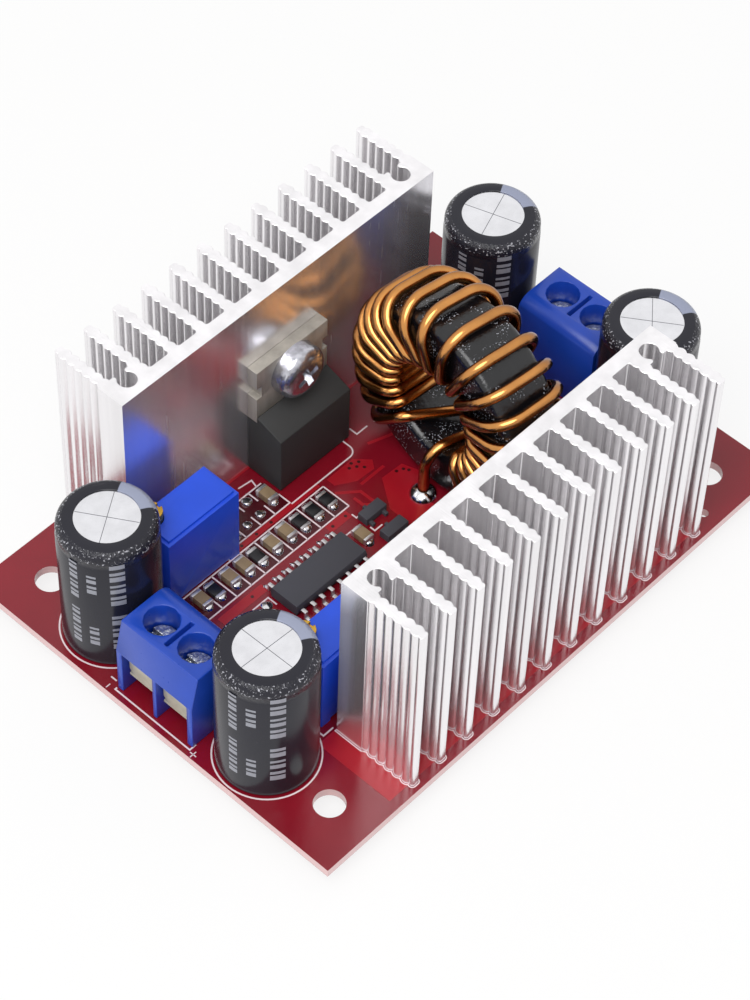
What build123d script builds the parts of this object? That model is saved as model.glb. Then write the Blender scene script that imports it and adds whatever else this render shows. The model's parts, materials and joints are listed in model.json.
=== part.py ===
from build123d import *
from math import cos, radians, sin
import os

# Boost converter module: a red circuit board that carries two upright finned heatsinks,
# a ring inductor between them, four electrolytic capacitors, two screw terminals,
# two trimmers, two power devices and a controller with its chip parts.
# Millimetres. The origin is the centre of the four mounting holes on the board's
# underside, X runs along the long edge from output to input and Z runs up.

# Circuit board
board_length = 67.0
board_width = 48.0
board_thickness = 1.0
hole_spacing_x = 56.0
hole_spacing_y = 38.0
mounting_hole_radius = 1.6
tooling_hole_radius = 0.5
tooling_hole = (23.7, -22.1)

# Sides of small round parts, which are modelled as polygons because they repeat
lead_sides = 6
small_round_sides = 16

# Drilled holes, leads and solder
wire_lead_radius = 0.3
pin_lead_radius = 0.28
lead_hole_radius = 0.55
solder_radius = 0.95
solder_slope_width = 0.45
solder_slope_height = 1.6
solder_height = 2.0

# Extruded heatsink, twelve fins with rippled sides
heatsink_length = 43.3
heatsink_height = 23.5
heatsink_depth = 9.6
plate_thickness = 1.6
fin_count = 12
fin_pitch = 3.8
fin_thickness = 1.1
fin_ripple = 0.12
ripple_count = 7
fin_tip_width = 0.6
fin_tip_length = 0.5
channel_radius = 1.0
channel_centre = 2.05
channel_slot = 1.3
channel_depth = 3.2
end_boss = 0.2
front_heatsink_x = 0.1
front_heatsink_y = -13.8
rear_heatsink_x = 0.8
rear_heatsink_y = 15.1

# Self-tapping screws that hold the heatsinks from below
tapper_head_radius = 1.9
tapper_head_height = 1.2
tapper_shank_radius = 0.9
tapper_length = 7.0
tapper_clearance = 0.15

# Ring core of the inductor, standing on edge
core_centre_x = 10.8
core_centre_y = 0.4
core_outer_radius = 11.2
core_inner_radius = 6.2
core_width = 7.0
core_chamfer = 0.6
core_foot_gap = 0.1
core_yaw = -5.5

# Inductor winding
wire_radius = 0.6
wire_gap = 0.05
wire_sides = 6
wire_bend = 0.8
turn_outer_angles = (
    -45.5, -31, -19, -6.5, 4.5, 19.5, 29.5, 39.5, 50, 66, 81,
    99, 117, 133, 148, 162, 177, 191, 205, 219, 233,
)
turn_skew_first = 12.0
turn_skew_last = -10.0
bore_first_angle = -48.0
bore_last_angle = 242.0
inductor_lead_reach = 5.0
inductor_lead_side = 0.9
inductor_lead_rise = 3.6

# Electrolytic capacitors
capacitor_radius = 5.0
capacitor_height = 17.0
capacitor_sides = 24
capacitor_shoulder = 0.7
sleeve_thickness = 0.15
sleeve_foot = 0.3
top_disc_radius = 3.2
sleeve_lip = 0.15
bung_radius = 4.1
bung_height = 0.7
capacitor_lead_spacing = 5.0
output_front_capacitor_x = -28.0
output_front_capacitor_y = -10.8
output_rear_capacitor_x = -27.55
output_rear_capacitor_y = 10.55
input_rear_capacitor_x = 27.2
input_rear_capacitor_y = 10.85
input_front_capacitor_x = 27.3
input_front_capacitor_y = -10.2

# Two-way screw terminals; local x runs from the wire face to the back
terminal_pitch = 5.08
terminal_depth = 7.2
terminal_height = 10.0
terminal_front_height = 6.1
terminal_front_slant = 0.9
terminal_shoulder = 1.6
terminal_shoulder_drop = 1.0
terminal_face_offset = 32.5
terminal_y = -0.25
input_terminal_y = 0.0
cell_width = 4.1
cell_wall = 0.25
cell_height = 5.9
cell_depth = 6.3
screw_well_radius = 1.75
screw_well_x = 3.54
groove_width = 0.45
groove_length = 3.6
groove_depth = 1.0

# Clamp mechanism in each cell
clamp_width = 3.6
nut_bottom = 3.1
nut_thickness = 0.9
nut_front = 1.6
contact_thickness = 0.4
contact_foot_front = 3.3
contact_foot_lift = 0.15
contact_pin_width = 1.0
guard_thickness = 0.3
guard_front = 0.75
guard_rear_gap = 0.3
guard_bottom = 2.4
guard_top = 5.6
guard_corner = 1.0
clamp_screw_radius = 1.45
clamp_screw_clearance = 0.05
clamp_head_radius = 1.65
clamp_head_top = 7.1
clamp_head_height = 1.2
clamp_tip_gap = 0.1
clamp_slot_width = 0.5
clamp_slot_depth = 0.6

# Multi-turn trimmers
trimmer_length = 9.53
trimmer_width = 4.83
trimmer_height = 10.0
trimmer_foot = 0.4
trimmer_foot_length = 1.2
trimmer_step = 0.35
trimmer_x = -17.5
trimmer_front_y = -10.1
trimmer_rear_y = 10.3
trimmer_screw_radius = 1.1
trimmer_screw_inset = 1.25
trimmer_screw_height = 1.2
trimmer_screw_seat = 0.8
trimmer_screw_clearance = 0.05
trimmer_slot_width = 0.5
trimmer_slot_depth = 0.5
trimmer_pin_pitch = 2.54

# Power devices, one on each heatsink
device_width = 10.1
tab_thickness = 1.3
tab_top = 15.4
tab_bottom = 8.0
tab_notch_width = 0.7
tab_notch_bottom = 11.5
tab_notch_top = 13.0
tab_hole_radius = 1.85
tab_hole_height = 12.6
body_thickness = 4.65
body_foot = 0.1
body_front_height = 7.6
body_top_height = 8.8
lead_pitch = 2.54
lead_width = 0.8
lead_thickness = 0.5
lead_setback = 2.5
transistor_x = 0.85
rectifier_x = -3.7
device_screw_radius = 1.5
device_screw_clearance = 0.05
device_head_radius = 3.0
device_head_height = 2.2
device_head_chamfer = 1.1

# Controller and chip parts
controller_x = -9.45
controller_y = 0.1
controller_length = 9.9
controller_width = 3.9
controller_lift = 0.1
controller_height = 1.5
controller_bevel = 0.25
controller_lead_count = 8
controller_lead_pitch = 1.27
controller_lead_width = 0.42
controller_lead_thickness = 0.2
controller_lead_span = 6.0
controller_foot_length = 0.6
controller_lead_height = 0.8
chip_width = 1.25
chip_length = 2.0
chip_end = 0.35
capacitor_chip_height = 0.85
resistor_chip_height = 0.5
chip_row_y = 6.25
chip_row_capacitors = (-19.66, -15.75, -13.73, -9.82, -7.76)
chip_row_resistors = (-17.88, -11.89, -5.8, -3.82, -1.84)
chip_spare_capacitors = ((-5.64, 10.95), (-2.7, 0.5))
small_transistor_places = ((0.1, 1.8), (0.05, -1.25))
small_transistor_size = (2.9, 1.3, 1.0)
small_transistor_span = 2.4
small_transistor_lead_width = 0.4
small_transistor_lead_height = 0.45
small_transistor_lead_pitch = 1.9

# Solder mounds on top of the board, where the coil's ends go in
mound_radius = 1.5
mound_height = 0.8
mound_chamfer = 0.65
mound_sides = 12

board_top = Plane.XY.offset(board_thickness)
parts_folder = "parts"
os.makedirs(parts_folder, exist_ok=True)


def save(piece, label):
    """Name a finished piece and write it."""
    piece.part.label = label
    export_step(piece.part, f"{parts_folder}/{label}.step")


def standing(x, y, turn=0.0, height=board_thickness):
    """Plane on top of the board at x, y whose own x is turned about the vertical."""
    facing = (cos(radians(turn)), sin(radians(turn)), 0)
    return Plane(origin=(x, y, height), x_dir=facing, z_dir=(0, 0, 1))


def upright(place, y=0.0):
    """Upright plane through the place's own y, with x along its x and y upwards."""
    return Plane(place.from_local_coords((0, y, 0)), x_dir=place.x_dir, z_dir=-place.y_dir)


def small_hole(radius, mode=Mode.ADD):
    """Polygon that leaves a clear circle of the radius, for a hole with a round part in it."""
    RegularPolygon(radius, small_round_sides, major_radius=False, mode=mode)


def spot(place, x, y):
    """Board position of a point that is given in a place's own axes."""
    point = place.from_local_coords((x, y, 0))
    return (point.X, point.Y)


# Where the pieces stand
front_heatsink_place = standing(front_heatsink_x, front_heatsink_y, 180)
rear_heatsink_place = standing(rear_heatsink_x, rear_heatsink_y)
capacitor_places = {
    1: standing(output_front_capacitor_x, output_front_capacitor_y),
    2: standing(output_rear_capacitor_x, output_rear_capacitor_y),
    3: standing(input_rear_capacitor_x, input_rear_capacitor_y),
    4: standing(input_front_capacitor_x, input_front_capacitor_y),
}
terminal_places = {
    "output": standing(-terminal_face_offset, terminal_y),
    "input": standing(terminal_face_offset, input_terminal_y, 180),
}
trimmer_places = {
    "front": standing(trimmer_x, trimmer_front_y),
    "rear": standing(trimmer_x, trimmer_rear_y),
}
device_places = {
    "transistor": standing(transistor_x, rear_heatsink_y),
    "rectifier": standing(rectifier_x, front_heatsink_y, 180),
}
channel_x = fin_pitch * (fin_count - 2) / 2
heatsink_screw_spots = [
    spot(place, side * channel_x, channel_centre)
    for place in (front_heatsink_place, rear_heatsink_place)
    for side in (-1, 1)
]
contact_rear = cell_depth - contact_thickness
cell_y = cell_wall + cell_width / 2
clamp_spots = {
    f"{name}_{number}": standing(*spot(place, 0, side * cell_y), 0 if name == "output" else 180)
    for name, place in terminal_places.items()
    for number, side in ((1, -1), (2, 1))
}
core_centre_z = board_thickness + core_outer_radius + core_foot_gap
core_axis = (cos(radians(core_yaw)), sin(radians(core_yaw)), 0)
core_side = (-sin(radians(core_yaw)), cos(radians(core_yaw)), 0)
ring_plane = Plane(origin=(core_centre_x, core_centre_y, core_centre_z), x_dir=core_side, z_dir=core_axis)
core_foot = standing(core_centre_x, core_centre_y, core_yaw)
inductor_lead_spots = [
    spot(core_foot, side * inductor_lead_reach, -inductor_lead_side) for side in (-1, 1)
]

# Every lead that goes through the board
capacitor_lead_spots = [
    spot(place, side * capacitor_lead_spacing / 2, 0)
    for place in capacitor_places.values()
    for side in (-1, 1)
]
contact_pin_spots = [
    spot(place, contact_rear + contact_thickness / 2, 0) for place in clamp_spots.values()
]
trimmer_pin_spots = [
    spot(place, step * trimmer_pin_pitch, 0)
    for place in trimmer_places.values()
    for step in (-1, 0, 1)
]
device_lead_spots = [
    spot(place, step * lead_pitch, -lead_setback)
    for place in device_places.values()
    for step in (-1, 0, 1)
]
round_lead_spots = capacitor_lead_spots + trimmer_pin_spots
drilled_spots = round_lead_spots + contact_pin_spots + device_lead_spots
soldered_spots = drilled_spots + inductor_lead_spots


def make_board():
    """Board with its mounting holes and a drilled hole for every lead and screw."""
    with BuildPart() as board:
        with BuildSketch():
            Rectangle(board_length, board_width)
            with GridLocations(hole_spacing_x, hole_spacing_y, 2, 2):
                Circle(mounting_hole_radius, mode=Mode.SUBTRACT)
            with Locations(tooling_hole):
                Circle(tooling_hole_radius, mode=Mode.SUBTRACT)
            with Locations(*drilled_spots):
                RegularPolygon(lead_hole_radius, lead_sides, major_radius=False, mode=Mode.SUBTRACT)
            with Locations(*inductor_lead_spots):
                RegularPolygon(wire_radius + wire_gap, lead_sides, major_radius=False, mode=Mode.SUBTRACT)
            with Locations(*heatsink_screw_spots):
                RegularPolygon(
                    tapper_shank_radius + tapper_clearance,
                    lead_sides,
                    major_radius=False,
                    mode=Mode.SUBTRACT,
                )
        extrude(amount=board_thickness)
    save(board, "board")


def fin_outline(centre):
    """Outline of one rippled fin, from the plate out along one side and back along the other."""
    root = plate_thickness / 2
    ripple_pitch = (heatsink_depth - fin_tip_length - plate_thickness) / (2 * ripple_count)
    side = [(fin_thickness / 2, root)]
    for step in range(2 * ripple_count + 1):
        swell = fin_ripple if step % 2 else -fin_ripple
        side.append((fin_thickness / 2 + swell, plate_thickness + step * ripple_pitch))
    side.append((fin_tip_width / 2, heatsink_depth))
    right = [(centre + half, out) for half, out in side]
    left = [(centre - half, out) for half, out in reversed(side)]
    return right + left


def make_heatsink(place, label, screw_x):
    """Plate, rippled fins and an open screw channel at each end, sawn from one extrusion."""
    first_fin = -fin_pitch * (fin_count - 1) / 2
    with BuildPart() as heatsink:
        with BuildSketch(place):
            with Locations((0, plate_thickness / 2)):
                Rectangle(heatsink_length, plate_thickness)
            for number in range(fin_count):
                with BuildLine():
                    Polyline(*fin_outline(first_fin + number * fin_pitch), close=True)
                make_face()
            for side in (-1, 1):
                boss_middle = side * (heatsink_length / 2 - fin_pitch / 2 - end_boss)
                with Locations((boss_middle, channel_depth / 2)):
                    Rectangle(fin_pitch + 2 * end_boss, channel_depth)
                with Locations((side * channel_x, channel_centre)):
                    RegularPolygon(channel_radius, small_round_sides, mode=Mode.SUBTRACT)
                with Locations((side * channel_x, (channel_centre + channel_depth) / 2)):
                    Rectangle(channel_slot, channel_depth - channel_centre, mode=Mode.SUBTRACT)
        extrude(amount=heatsink_height)
        screw_point = place.from_local_coords((screw_x, 0, tab_hole_height))
        with BuildSketch(Plane(screw_point, x_dir=place.x_dir, z_dir=place.y_dir)):
            small_hole(device_screw_radius + device_screw_clearance)
        extrude(amount=plate_thickness, mode=Mode.SUBTRACT)
    save(heatsink, label)


def make_heatsink_screws():
    """Four pan-head self-tappers up through the board into the screw channels."""
    with BuildPart() as screws:
        with BuildSketch(Plane.XY):
            with Locations(*heatsink_screw_spots):
                RegularPolygon(tapper_head_radius, small_round_sides)
        extrude(amount=-tapper_head_height)
        with BuildSketch(Plane.XY):
            with Locations(*heatsink_screw_spots):
                RegularPolygon(tapper_shank_radius, lead_sides)
        extrude(amount=tapper_length)
    save(screws, "heatsink_screws")


def make_core():
    """Coated ring core that stands on edge between the heatsinks."""
    with BuildPart() as core:
        with BuildSketch(ring_plane):
            Circle(core_outer_radius)
            Circle(core_inner_radius, mode=Mode.SUBTRACT)
        extrude(amount=core_width / 2, both=True)
        chamfer(core.edges().filter_by(GeomType.CIRCLE), core_chamfer)
    save(core, "inductor_core")


def ring_point(along, radius, angle):
    """Point at a distance along the core's axis, at a radius and an angle round it."""
    turn = radians(angle)
    return ring_plane.from_local_coords((radius * cos(turn), radius * sin(turn), along))


def blend(start, end, share):
    """Value a share of the way from start to end."""
    return start + (end - start) * share


def winding_route():
    """Corner points of the whole wire: up from the board, round the core, and down again."""
    inside = core_inner_radius - wire_gap - wire_radius
    outside = core_outer_radius + wire_gap + wire_radius
    face = core_width / 2 + wire_gap + wire_radius
    count = len(turn_outer_angles)
    bore_angles = [blend(bore_first_angle, bore_last_angle, turn / count) for turn in range(count + 1)]
    near_foot, far_foot = (Vector(x, y, 0) for x, y in inductor_lead_spots)
    lead_rise = Vector(0, 0, board_thickness + inductor_lead_rise)
    points = [far_foot, far_foot + lead_rise, ring_point(face, inside, bore_angles[0])]
    for turn, outer_angle in enumerate(turn_outer_angles):
        skew = blend(turn_skew_first, turn_skew_last, turn / (count - 1))
        points.append(ring_point(-face, inside, bore_angles[turn]))
        points.append(ring_point(-face, outside, outer_angle))
        points.append(ring_point(face, outside, outer_angle + skew))
        points.append(ring_point(face, inside, bore_angles[turn + 1]))
    points.append(ring_point(-face, inside, bore_angles[-1]))
    points += [near_foot + lead_rise, near_foot]
    return points


def bent(points, cut):
    """The same route with every corner cut, so that the wire bends in two steps."""
    route = [points[0]]
    for before, corner, after in zip(points, points[1:], points[2:]):
        route.append(corner + (before - corner).normalized() * cut)
        route.append(corner + (after - corner).normalized() * cut)
    return route + [points[-1]]


def make_winding():
    """One length of enamelled wire wound round the core, open at the foot."""
    route = bent(winding_route(), wire_bend)
    with BuildPart() as winding:
        with BuildLine() as path:
            Polyline(*route)
        with BuildSketch(Plane(route[0], z_dir=route[1] - route[0])):
            RegularPolygon(wire_radius, wire_sides)
        sweep(path=path.line, transition=Transition.RIGHT)
    save(winding, "inductor_winding")


def make_capacitor(number, place):
    """Can, shrink sleeve, rubber bung and two leads of one electrolytic capacitor."""
    can_radius = capacitor_radius - sleeve_thickness
    can_top = capacitor_height - sleeve_lip
    with BuildPart() as can:
        with BuildSketch(place.offset(bung_height)):
            RegularPolygon(can_radius, capacitor_sides)
        extrude(amount=can_top - bung_height)
        chamfer(can.edges().group_by(Axis.Z)[-1], capacitor_shoulder)
    save(can, f"capacitor_{number}_can")

    with BuildPart() as sleeve:
        with BuildSketch(place.offset(sleeve_foot)):
            RegularPolygon(capacitor_radius, capacitor_sides)
        extrude(amount=capacitor_height - sleeve_foot)
        chamfer(sleeve.edges().group_by(Axis.Z)[-1], capacitor_shoulder)
        with BuildSketch(place.offset(sleeve_foot)):
            RegularPolygon(can_radius, capacitor_sides)
        extrude(amount=bung_height - sleeve_foot, mode=Mode.SUBTRACT)
        add(can.part, mode=Mode.SUBTRACT)
        with BuildSketch(place.offset(can_top)):
            RegularPolygon(top_disc_radius, capacitor_sides)
        extrude(amount=sleeve_lip, mode=Mode.SUBTRACT)
    save(sleeve, f"capacitor_{number}_sleeve")

    with BuildPart() as bung:
        with BuildSketch(place):
            RegularPolygon(bung_radius, capacitor_sides)
        extrude(amount=bung_height)
    save(bung, f"capacitor_{number}_bung")

    with BuildPart() as leads:
        with BuildSketch(place):
            with GridLocations(capacitor_lead_spacing, 0, 2, 1):
                RegularPolygon(wire_lead_radius, lead_sides)
        extrude(amount=-board_thickness)
    save(leads, f"capacitor_{number}_leads")


def make_terminal_housing(name, place):
    """Moulded two-way housing: two wire cells, open below, and a screw well over each."""
    width = 2 * terminal_pitch
    outline = upright(place)
    with BuildPart() as housing:
        with BuildSketch(outline):
            with BuildLine():
                front = Polyline(
                    (0, 0),
                    (0, terminal_front_height),
                    (terminal_front_slant, terminal_height),
                    (terminal_depth - terminal_shoulder, terminal_height),
                )
                shoulder = TangentArc(
                    front @ 1,
                    (terminal_depth, terminal_height - terminal_shoulder_drop),
                    tangent=(1, 0),
                )
                Polyline(shoulder @ 1, (terminal_depth, 0), (0, 0))
            make_face()
        extrude(amount=width / 2, both=True)
        with BuildSketch(place):
            with Locations((cell_depth / 2, -cell_y), (cell_depth / 2, cell_y)):
                Rectangle(cell_depth, cell_width)
        extrude(amount=cell_height, mode=Mode.SUBTRACT)
        with BuildSketch(place.offset(terminal_height)):
            with Locations((screw_well_x, -cell_y), (screw_well_x, cell_y)):
                small_hole(screw_well_radius, Mode.ADD)
        extrude(amount=cell_height - terminal_height, mode=Mode.SUBTRACT)
        with BuildSketch(place.offset(terminal_height)):
            with Locations((screw_well_x, 0)):
                Rectangle(groove_length, groove_width)
        extrude(amount=-groove_depth, mode=Mode.SUBTRACT)
    save(housing, f"{name}_terminal_housing")


def make_clamp(name, place):
    """Fixed contact, sliding wire guard and clamp screw of one terminal way."""
    way = upright(place)
    with BuildPart() as contact:
        with BuildSketch(way):
            with BuildLine():
                Polyline(
                    (nut_front, nut_bottom),
                    (contact_rear, nut_bottom),
                    (contact_rear, contact_foot_lift + contact_thickness),
                    (contact_foot_front, contact_foot_lift + contact_thickness),
                    (contact_foot_front, contact_foot_lift),
                    (cell_depth, contact_foot_lift),
                    (cell_depth, nut_bottom + nut_thickness),
                    (nut_front, nut_bottom + nut_thickness),
                    close=True,
                )
            make_face()
        extrude(amount=clamp_width / 2, both=True)
        with BuildSketch(place.offset(nut_bottom)):
            with Locations((screw_well_x, 0)):
                small_hole(clamp_screw_radius + clamp_screw_clearance)
        extrude(amount=nut_thickness, mode=Mode.SUBTRACT)
        with BuildSketch(place.offset(-board_thickness)):
            with Locations((contact_rear + contact_thickness / 2, 0)):
                Rectangle(contact_thickness, contact_pin_width)
        extrude(amount=board_thickness + contact_foot_lift)
    save(contact, f"{name}_contact")

    guard_length = contact_rear - guard_rear_gap - guard_front
    with BuildPart() as guard:
        with BuildSketch(place.offset(guard_bottom)):
            with Locations((guard_front + guard_length / 2, 0)):
                Rectangle(guard_length, clamp_width)
        extrude(amount=guard_thickness)
        tongue_plane = Plane(
            place.from_local_coords((guard_front, 0, 0)), x_dir=place.y_dir, z_dir=place.x_dir
        )
        with BuildSketch(tongue_plane):
            with BuildLine():
                half = clamp_width / 2
                Polyline(
                    (-half, guard_top),
                    (-half, guard_bottom + guard_corner),
                    (guard_corner - half, guard_bottom),
                    (half - guard_corner, guard_bottom),
                    (half, guard_bottom + guard_corner),
                    (half, guard_top),
                    close=True,
                )
            make_face()
        extrude(amount=guard_thickness)
    save(guard, f"{name}_guard")

    screw_tip = guard_bottom + guard_thickness + clamp_tip_gap
    with BuildPart() as screw:
        with BuildSketch(place.offset(screw_tip)):
            with Locations((screw_well_x, 0)):
                RegularPolygon(clamp_screw_radius, small_round_sides)
        extrude(amount=clamp_head_top - clamp_head_height - screw_tip)
        with BuildSketch(place.offset(clamp_head_top)):
            with Locations((screw_well_x, 0)):
                RegularPolygon(clamp_head_radius, small_round_sides)
        extrude(amount=-clamp_head_height)
        with BuildSketch(place.offset(clamp_head_top)):
            with Locations((screw_well_x, 0)):
                Rectangle(clamp_slot_width, 2 * clamp_head_radius)
        extrude(amount=-clamp_slot_depth, mode=Mode.SUBTRACT)
    save(screw, f"{name}_screw")


def make_trimmer(name, place):
    """Stepped case with two feet, a brass adjusting screw on top and three pins."""
    screw_spot = (trimmer_screw_inset - trimmer_length / 2, trimmer_width / 2 - trimmer_screw_inset)
    foot_x = (trimmer_length - trimmer_foot_length) / 2
    with BuildPart() as case:
        with BuildSketch(place.offset(trimmer_foot)):
            Rectangle(trimmer_length, trimmer_width)
        extrude(amount=trimmer_height - trimmer_foot - trimmer_step)
        with BuildSketch(place.offset(trimmer_height - trimmer_step)):
            Rectangle(trimmer_length - 2 * trimmer_step, trimmer_width - 2 * trimmer_step)
        extrude(amount=trimmer_step)
        with BuildSketch(place):
            with Locations((-foot_x, 0), (foot_x, 0)):
                Rectangle(trimmer_foot_length, trimmer_width)
        extrude(amount=trimmer_foot)
        with BuildSketch(place.offset(trimmer_height)):
            with Locations(screw_spot):
                small_hole(trimmer_screw_radius + trimmer_screw_clearance)
        extrude(amount=-trimmer_screw_seat, mode=Mode.SUBTRACT)
    save(case, f"trimmer_{name}_case")

    with BuildPart() as screw:
        with BuildSketch(place.offset(trimmer_height - trimmer_screw_seat)):
            with Locations(screw_spot):
                RegularPolygon(trimmer_screw_radius, small_round_sides)
        extrude(amount=trimmer_screw_seat + trimmer_screw_height)
        with BuildSketch(place.offset(trimmer_height + trimmer_screw_height)):
            with Locations(screw_spot):
                Rectangle(2 * trimmer_screw_radius, trimmer_slot_width)
        extrude(amount=-trimmer_slot_depth, mode=Mode.SUBTRACT)
    save(screw, f"trimmer_{name}_screw")

    with BuildPart() as pins:
        with BuildSketch(place.offset(-board_thickness)):
            with GridLocations(trimmer_pin_pitch, 0, 3, 1):
                RegularPolygon(pin_lead_radius, lead_sides)
        extrude(amount=board_thickness + trimmer_foot)
    save(pins, f"trimmer_{name}_pins")


def make_power_device(name, place):
    """Tab, moulded body, three leads and screw of a device that stands against a heatsink."""
    back = Plane(place.origin, x_dir=place.x_dir, z_dir=-place.y_dir)
    half = device_width / 2
    with BuildPart() as tab:
        with BuildSketch(back):
            with Locations((0, (tab_bottom + tab_top) / 2)):
                Rectangle(device_width, tab_top - tab_bottom)
            with Locations(*[(side * half, (tab_notch_bottom + tab_notch_top) / 2) for side in (-1, 1)]):
                Rectangle(2 * tab_notch_width, tab_notch_top - tab_notch_bottom, mode=Mode.SUBTRACT)
            with Locations((0, tab_hole_height)):
                small_hole(tab_hole_radius, Mode.SUBTRACT)
        extrude(amount=tab_thickness)
    save(tab, f"{name}_tab")

    with BuildPart() as body:
        with BuildSketch(Plane(place.origin, x_dir=place.y_dir, z_dir=place.x_dir)):
            with BuildLine():
                Polyline(
                    (0, body_foot),
                    (0, tab_bottom),
                    (-tab_thickness, tab_bottom),
                    (-tab_thickness, body_top_height),
                    (-body_thickness, body_front_height),
                    (-body_thickness, body_foot),
                    close=True,
                )
            make_face()
        extrude(amount=half, both=True)
    save(body, f"{name}_body")

    with BuildPart() as leads:
        with BuildSketch(place.offset(-board_thickness)):
            with Locations((0, -lead_setback)):
                with GridLocations(lead_pitch, 0, 3, 1):
                    Rectangle(lead_width, lead_thickness)
        extrude(amount=board_thickness + body_foot)
    save(leads, f"{name}_leads")

    tab_face = Plane(
        place.from_local_coords((0, -tab_thickness, tab_hole_height)),
        x_dir=place.x_dir,
        z_dir=-place.y_dir,
    )
    with BuildPart() as screw:
        with BuildSketch(tab_face):
            RegularPolygon(device_head_radius, small_round_sides)
        extrude(amount=device_head_height)
        outermost = screw.faces().sort_by(Axis(tab_face.origin, tab_face.z_dir))[-1]
        chamfer(outermost.edges(), device_head_chamfer)
        with BuildSketch(tab_face):
            RegularPolygon(device_screw_radius, small_round_sides)
        extrude(amount=-tab_thickness - plate_thickness)
    save(screw, f"{name}_screw")


def make_controller():
    """Sixteen-lead controller: bevelled moulding and two rows of bent leads."""
    place = standing(controller_x, controller_y)
    middle = controller_lift + controller_lead_height
    half = controller_width / 2
    with BuildPart() as body:
        with BuildSketch(Plane(place.origin, x_dir=place.y_dir, z_dir=place.x_dir)):
            with BuildLine():
                Polyline(
                    (-half + controller_bevel, controller_lift),
                    (half - controller_bevel, controller_lift),
                    (half, middle),
                    (half - controller_bevel, controller_height),
                    (controller_bevel - half, controller_height),
                    (-half, middle),
                    close=True,
                )
            make_face()
        extrude(amount=controller_length / 2, both=True)
    save(body, "controller_body")

    reach = controller_lead_span / 2
    knee = reach - controller_foot_length
    thick = controller_lead_thickness
    lead_planes = []
    for side in (-1, 1):
        for number in range(controller_lead_count):
            along = (number - (controller_lead_count - 1) / 2) * controller_lead_pitch
            start = place.from_local_coords((along, 0, 0))
            lead_planes.append(Plane(start, x_dir=place.y_dir * side, z_dir=place.x_dir * side))
    with BuildPart() as leads:
        with BuildSketch(*lead_planes):
            with BuildLine():
                Polyline(
                    (half, middle),
                    (knee, middle),
                    (knee, 0),
                    (reach, 0),
                    (reach, thick),
                    (knee + thick, thick),
                    (knee + thick, middle + thick / 2),
                    (half, middle + thick / 2),
                    close=True,
                )
            make_face()
        extrude(amount=controller_lead_width / 2, both=True)
    save(leads, "controller_leads")


def chip_bodies(label, places, height):
    """Like chip parts that stand across the row, without their tinned ends."""
    with BuildPart() as chips:
        with BuildSketch(board_top):
            with Locations(*places):
                Rectangle(chip_width, chip_length - 2 * chip_end)
        extrude(amount=height)
    save(chips, label)


def make_chips():
    """Chip capacitors, chip resistors and the tinned ends of both."""
    capacitors = [(x, chip_row_y) for x in chip_row_capacitors] + list(chip_spare_capacitors)
    resistors = [(x, chip_row_y) for x in chip_row_resistors]
    chip_bodies("chip_capacitors", capacitors, capacitor_chip_height)
    chip_bodies("chip_resistors", resistors, resistor_chip_height)
    end_shift = (chip_length - chip_end) / 2
    with BuildPart() as ends:
        for places, height in ((capacitors, capacitor_chip_height), (resistors, resistor_chip_height)):
            end_places = [(x, y + side * end_shift) for x, y in places for side in (-1, 1)]
            with BuildSketch(board_top):
                with Locations(*end_places):
                    Rectangle(chip_width, chip_end)
            extrude(amount=height)
    save(ends, "chip_ends")


def make_small_transistors():
    """Two small three-lead transistors beside the controller."""
    length, width, height = small_transistor_size
    lead_reach = small_transistor_span / 2
    with BuildPart() as transistors:
        with BuildSketch(board_top):
            with Locations(*small_transistor_places):
                Rectangle(length, width)
        extrude(amount=height)
        with BuildSketch(board_top):
            for x, y in small_transistor_places:
                low_y = y - lead_reach / 2
                high_y = y + lead_reach / 2
                with Locations(
                    (x - small_transistor_lead_pitch / 2, low_y),
                    (x + small_transistor_lead_pitch / 2, low_y),
                    (x, high_y),
                ):
                    Rectangle(small_transistor_lead_width, lead_reach)
        extrude(amount=small_transistor_lead_height)
    save(transistors, "small_transistors")


def make_solder():
    """Solder cones over the clipped leads below, and two mounds where the coil's ends go in."""
    with BuildPart() as joints:
        with BuildSketch(Plane.XY):
            with Locations(*soldered_spots):
                RegularPolygon(solder_radius, lead_sides)
        extrude(amount=-solder_height)
        for tip in joints.faces().filter_by(Plane.XY).group_by(Axis.Z)[0]:
            chamfer(tip.edges(), solder_slope_width, solder_slope_height, reference=tip)
        with BuildSketch(board_top):
            with Locations(*inductor_lead_spots):
                RegularPolygon(mound_radius, mound_sides)
        extrude(amount=mound_height)
        chamfer(joints.edges().group_by(Axis.Z)[-1], mound_chamfer)
        with BuildSketch(board_top):
            with Locations(*inductor_lead_spots):
                RegularPolygon(wire_radius + wire_gap, lead_sides, major_radius=False)
        extrude(amount=mound_height, mode=Mode.SUBTRACT)
    save(joints, "solder_joints")


make_board()
make_heatsink(front_heatsink_place, "heatsink_front", front_heatsink_x - rectifier_x)
make_heatsink(rear_heatsink_place, "heatsink_rear", transistor_x - rear_heatsink_x)
make_heatsink_screws()
make_core()
make_winding()
for capacitor_number, capacitor_place in capacitor_places.items():
    make_capacitor(capacitor_number, capacitor_place)
for terminal_name, terminal_place in terminal_places.items():
    make_terminal_housing(terminal_name, terminal_place)
for clamp_name, clamp_place in clamp_spots.items():
    make_clamp(clamp_name, clamp_place)
for trimmer_name, trimmer_place in trimmer_places.items():
    make_trimmer(trimmer_name, trimmer_place)
for device_name, device_place in device_places.items():
    make_power_device(device_name, device_place)
make_controller()
make_chips()
make_small_transistors()
make_solder()
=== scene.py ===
import json
import math

import bmesh
import bpy
from mathutils import Matrix, Vector


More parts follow.
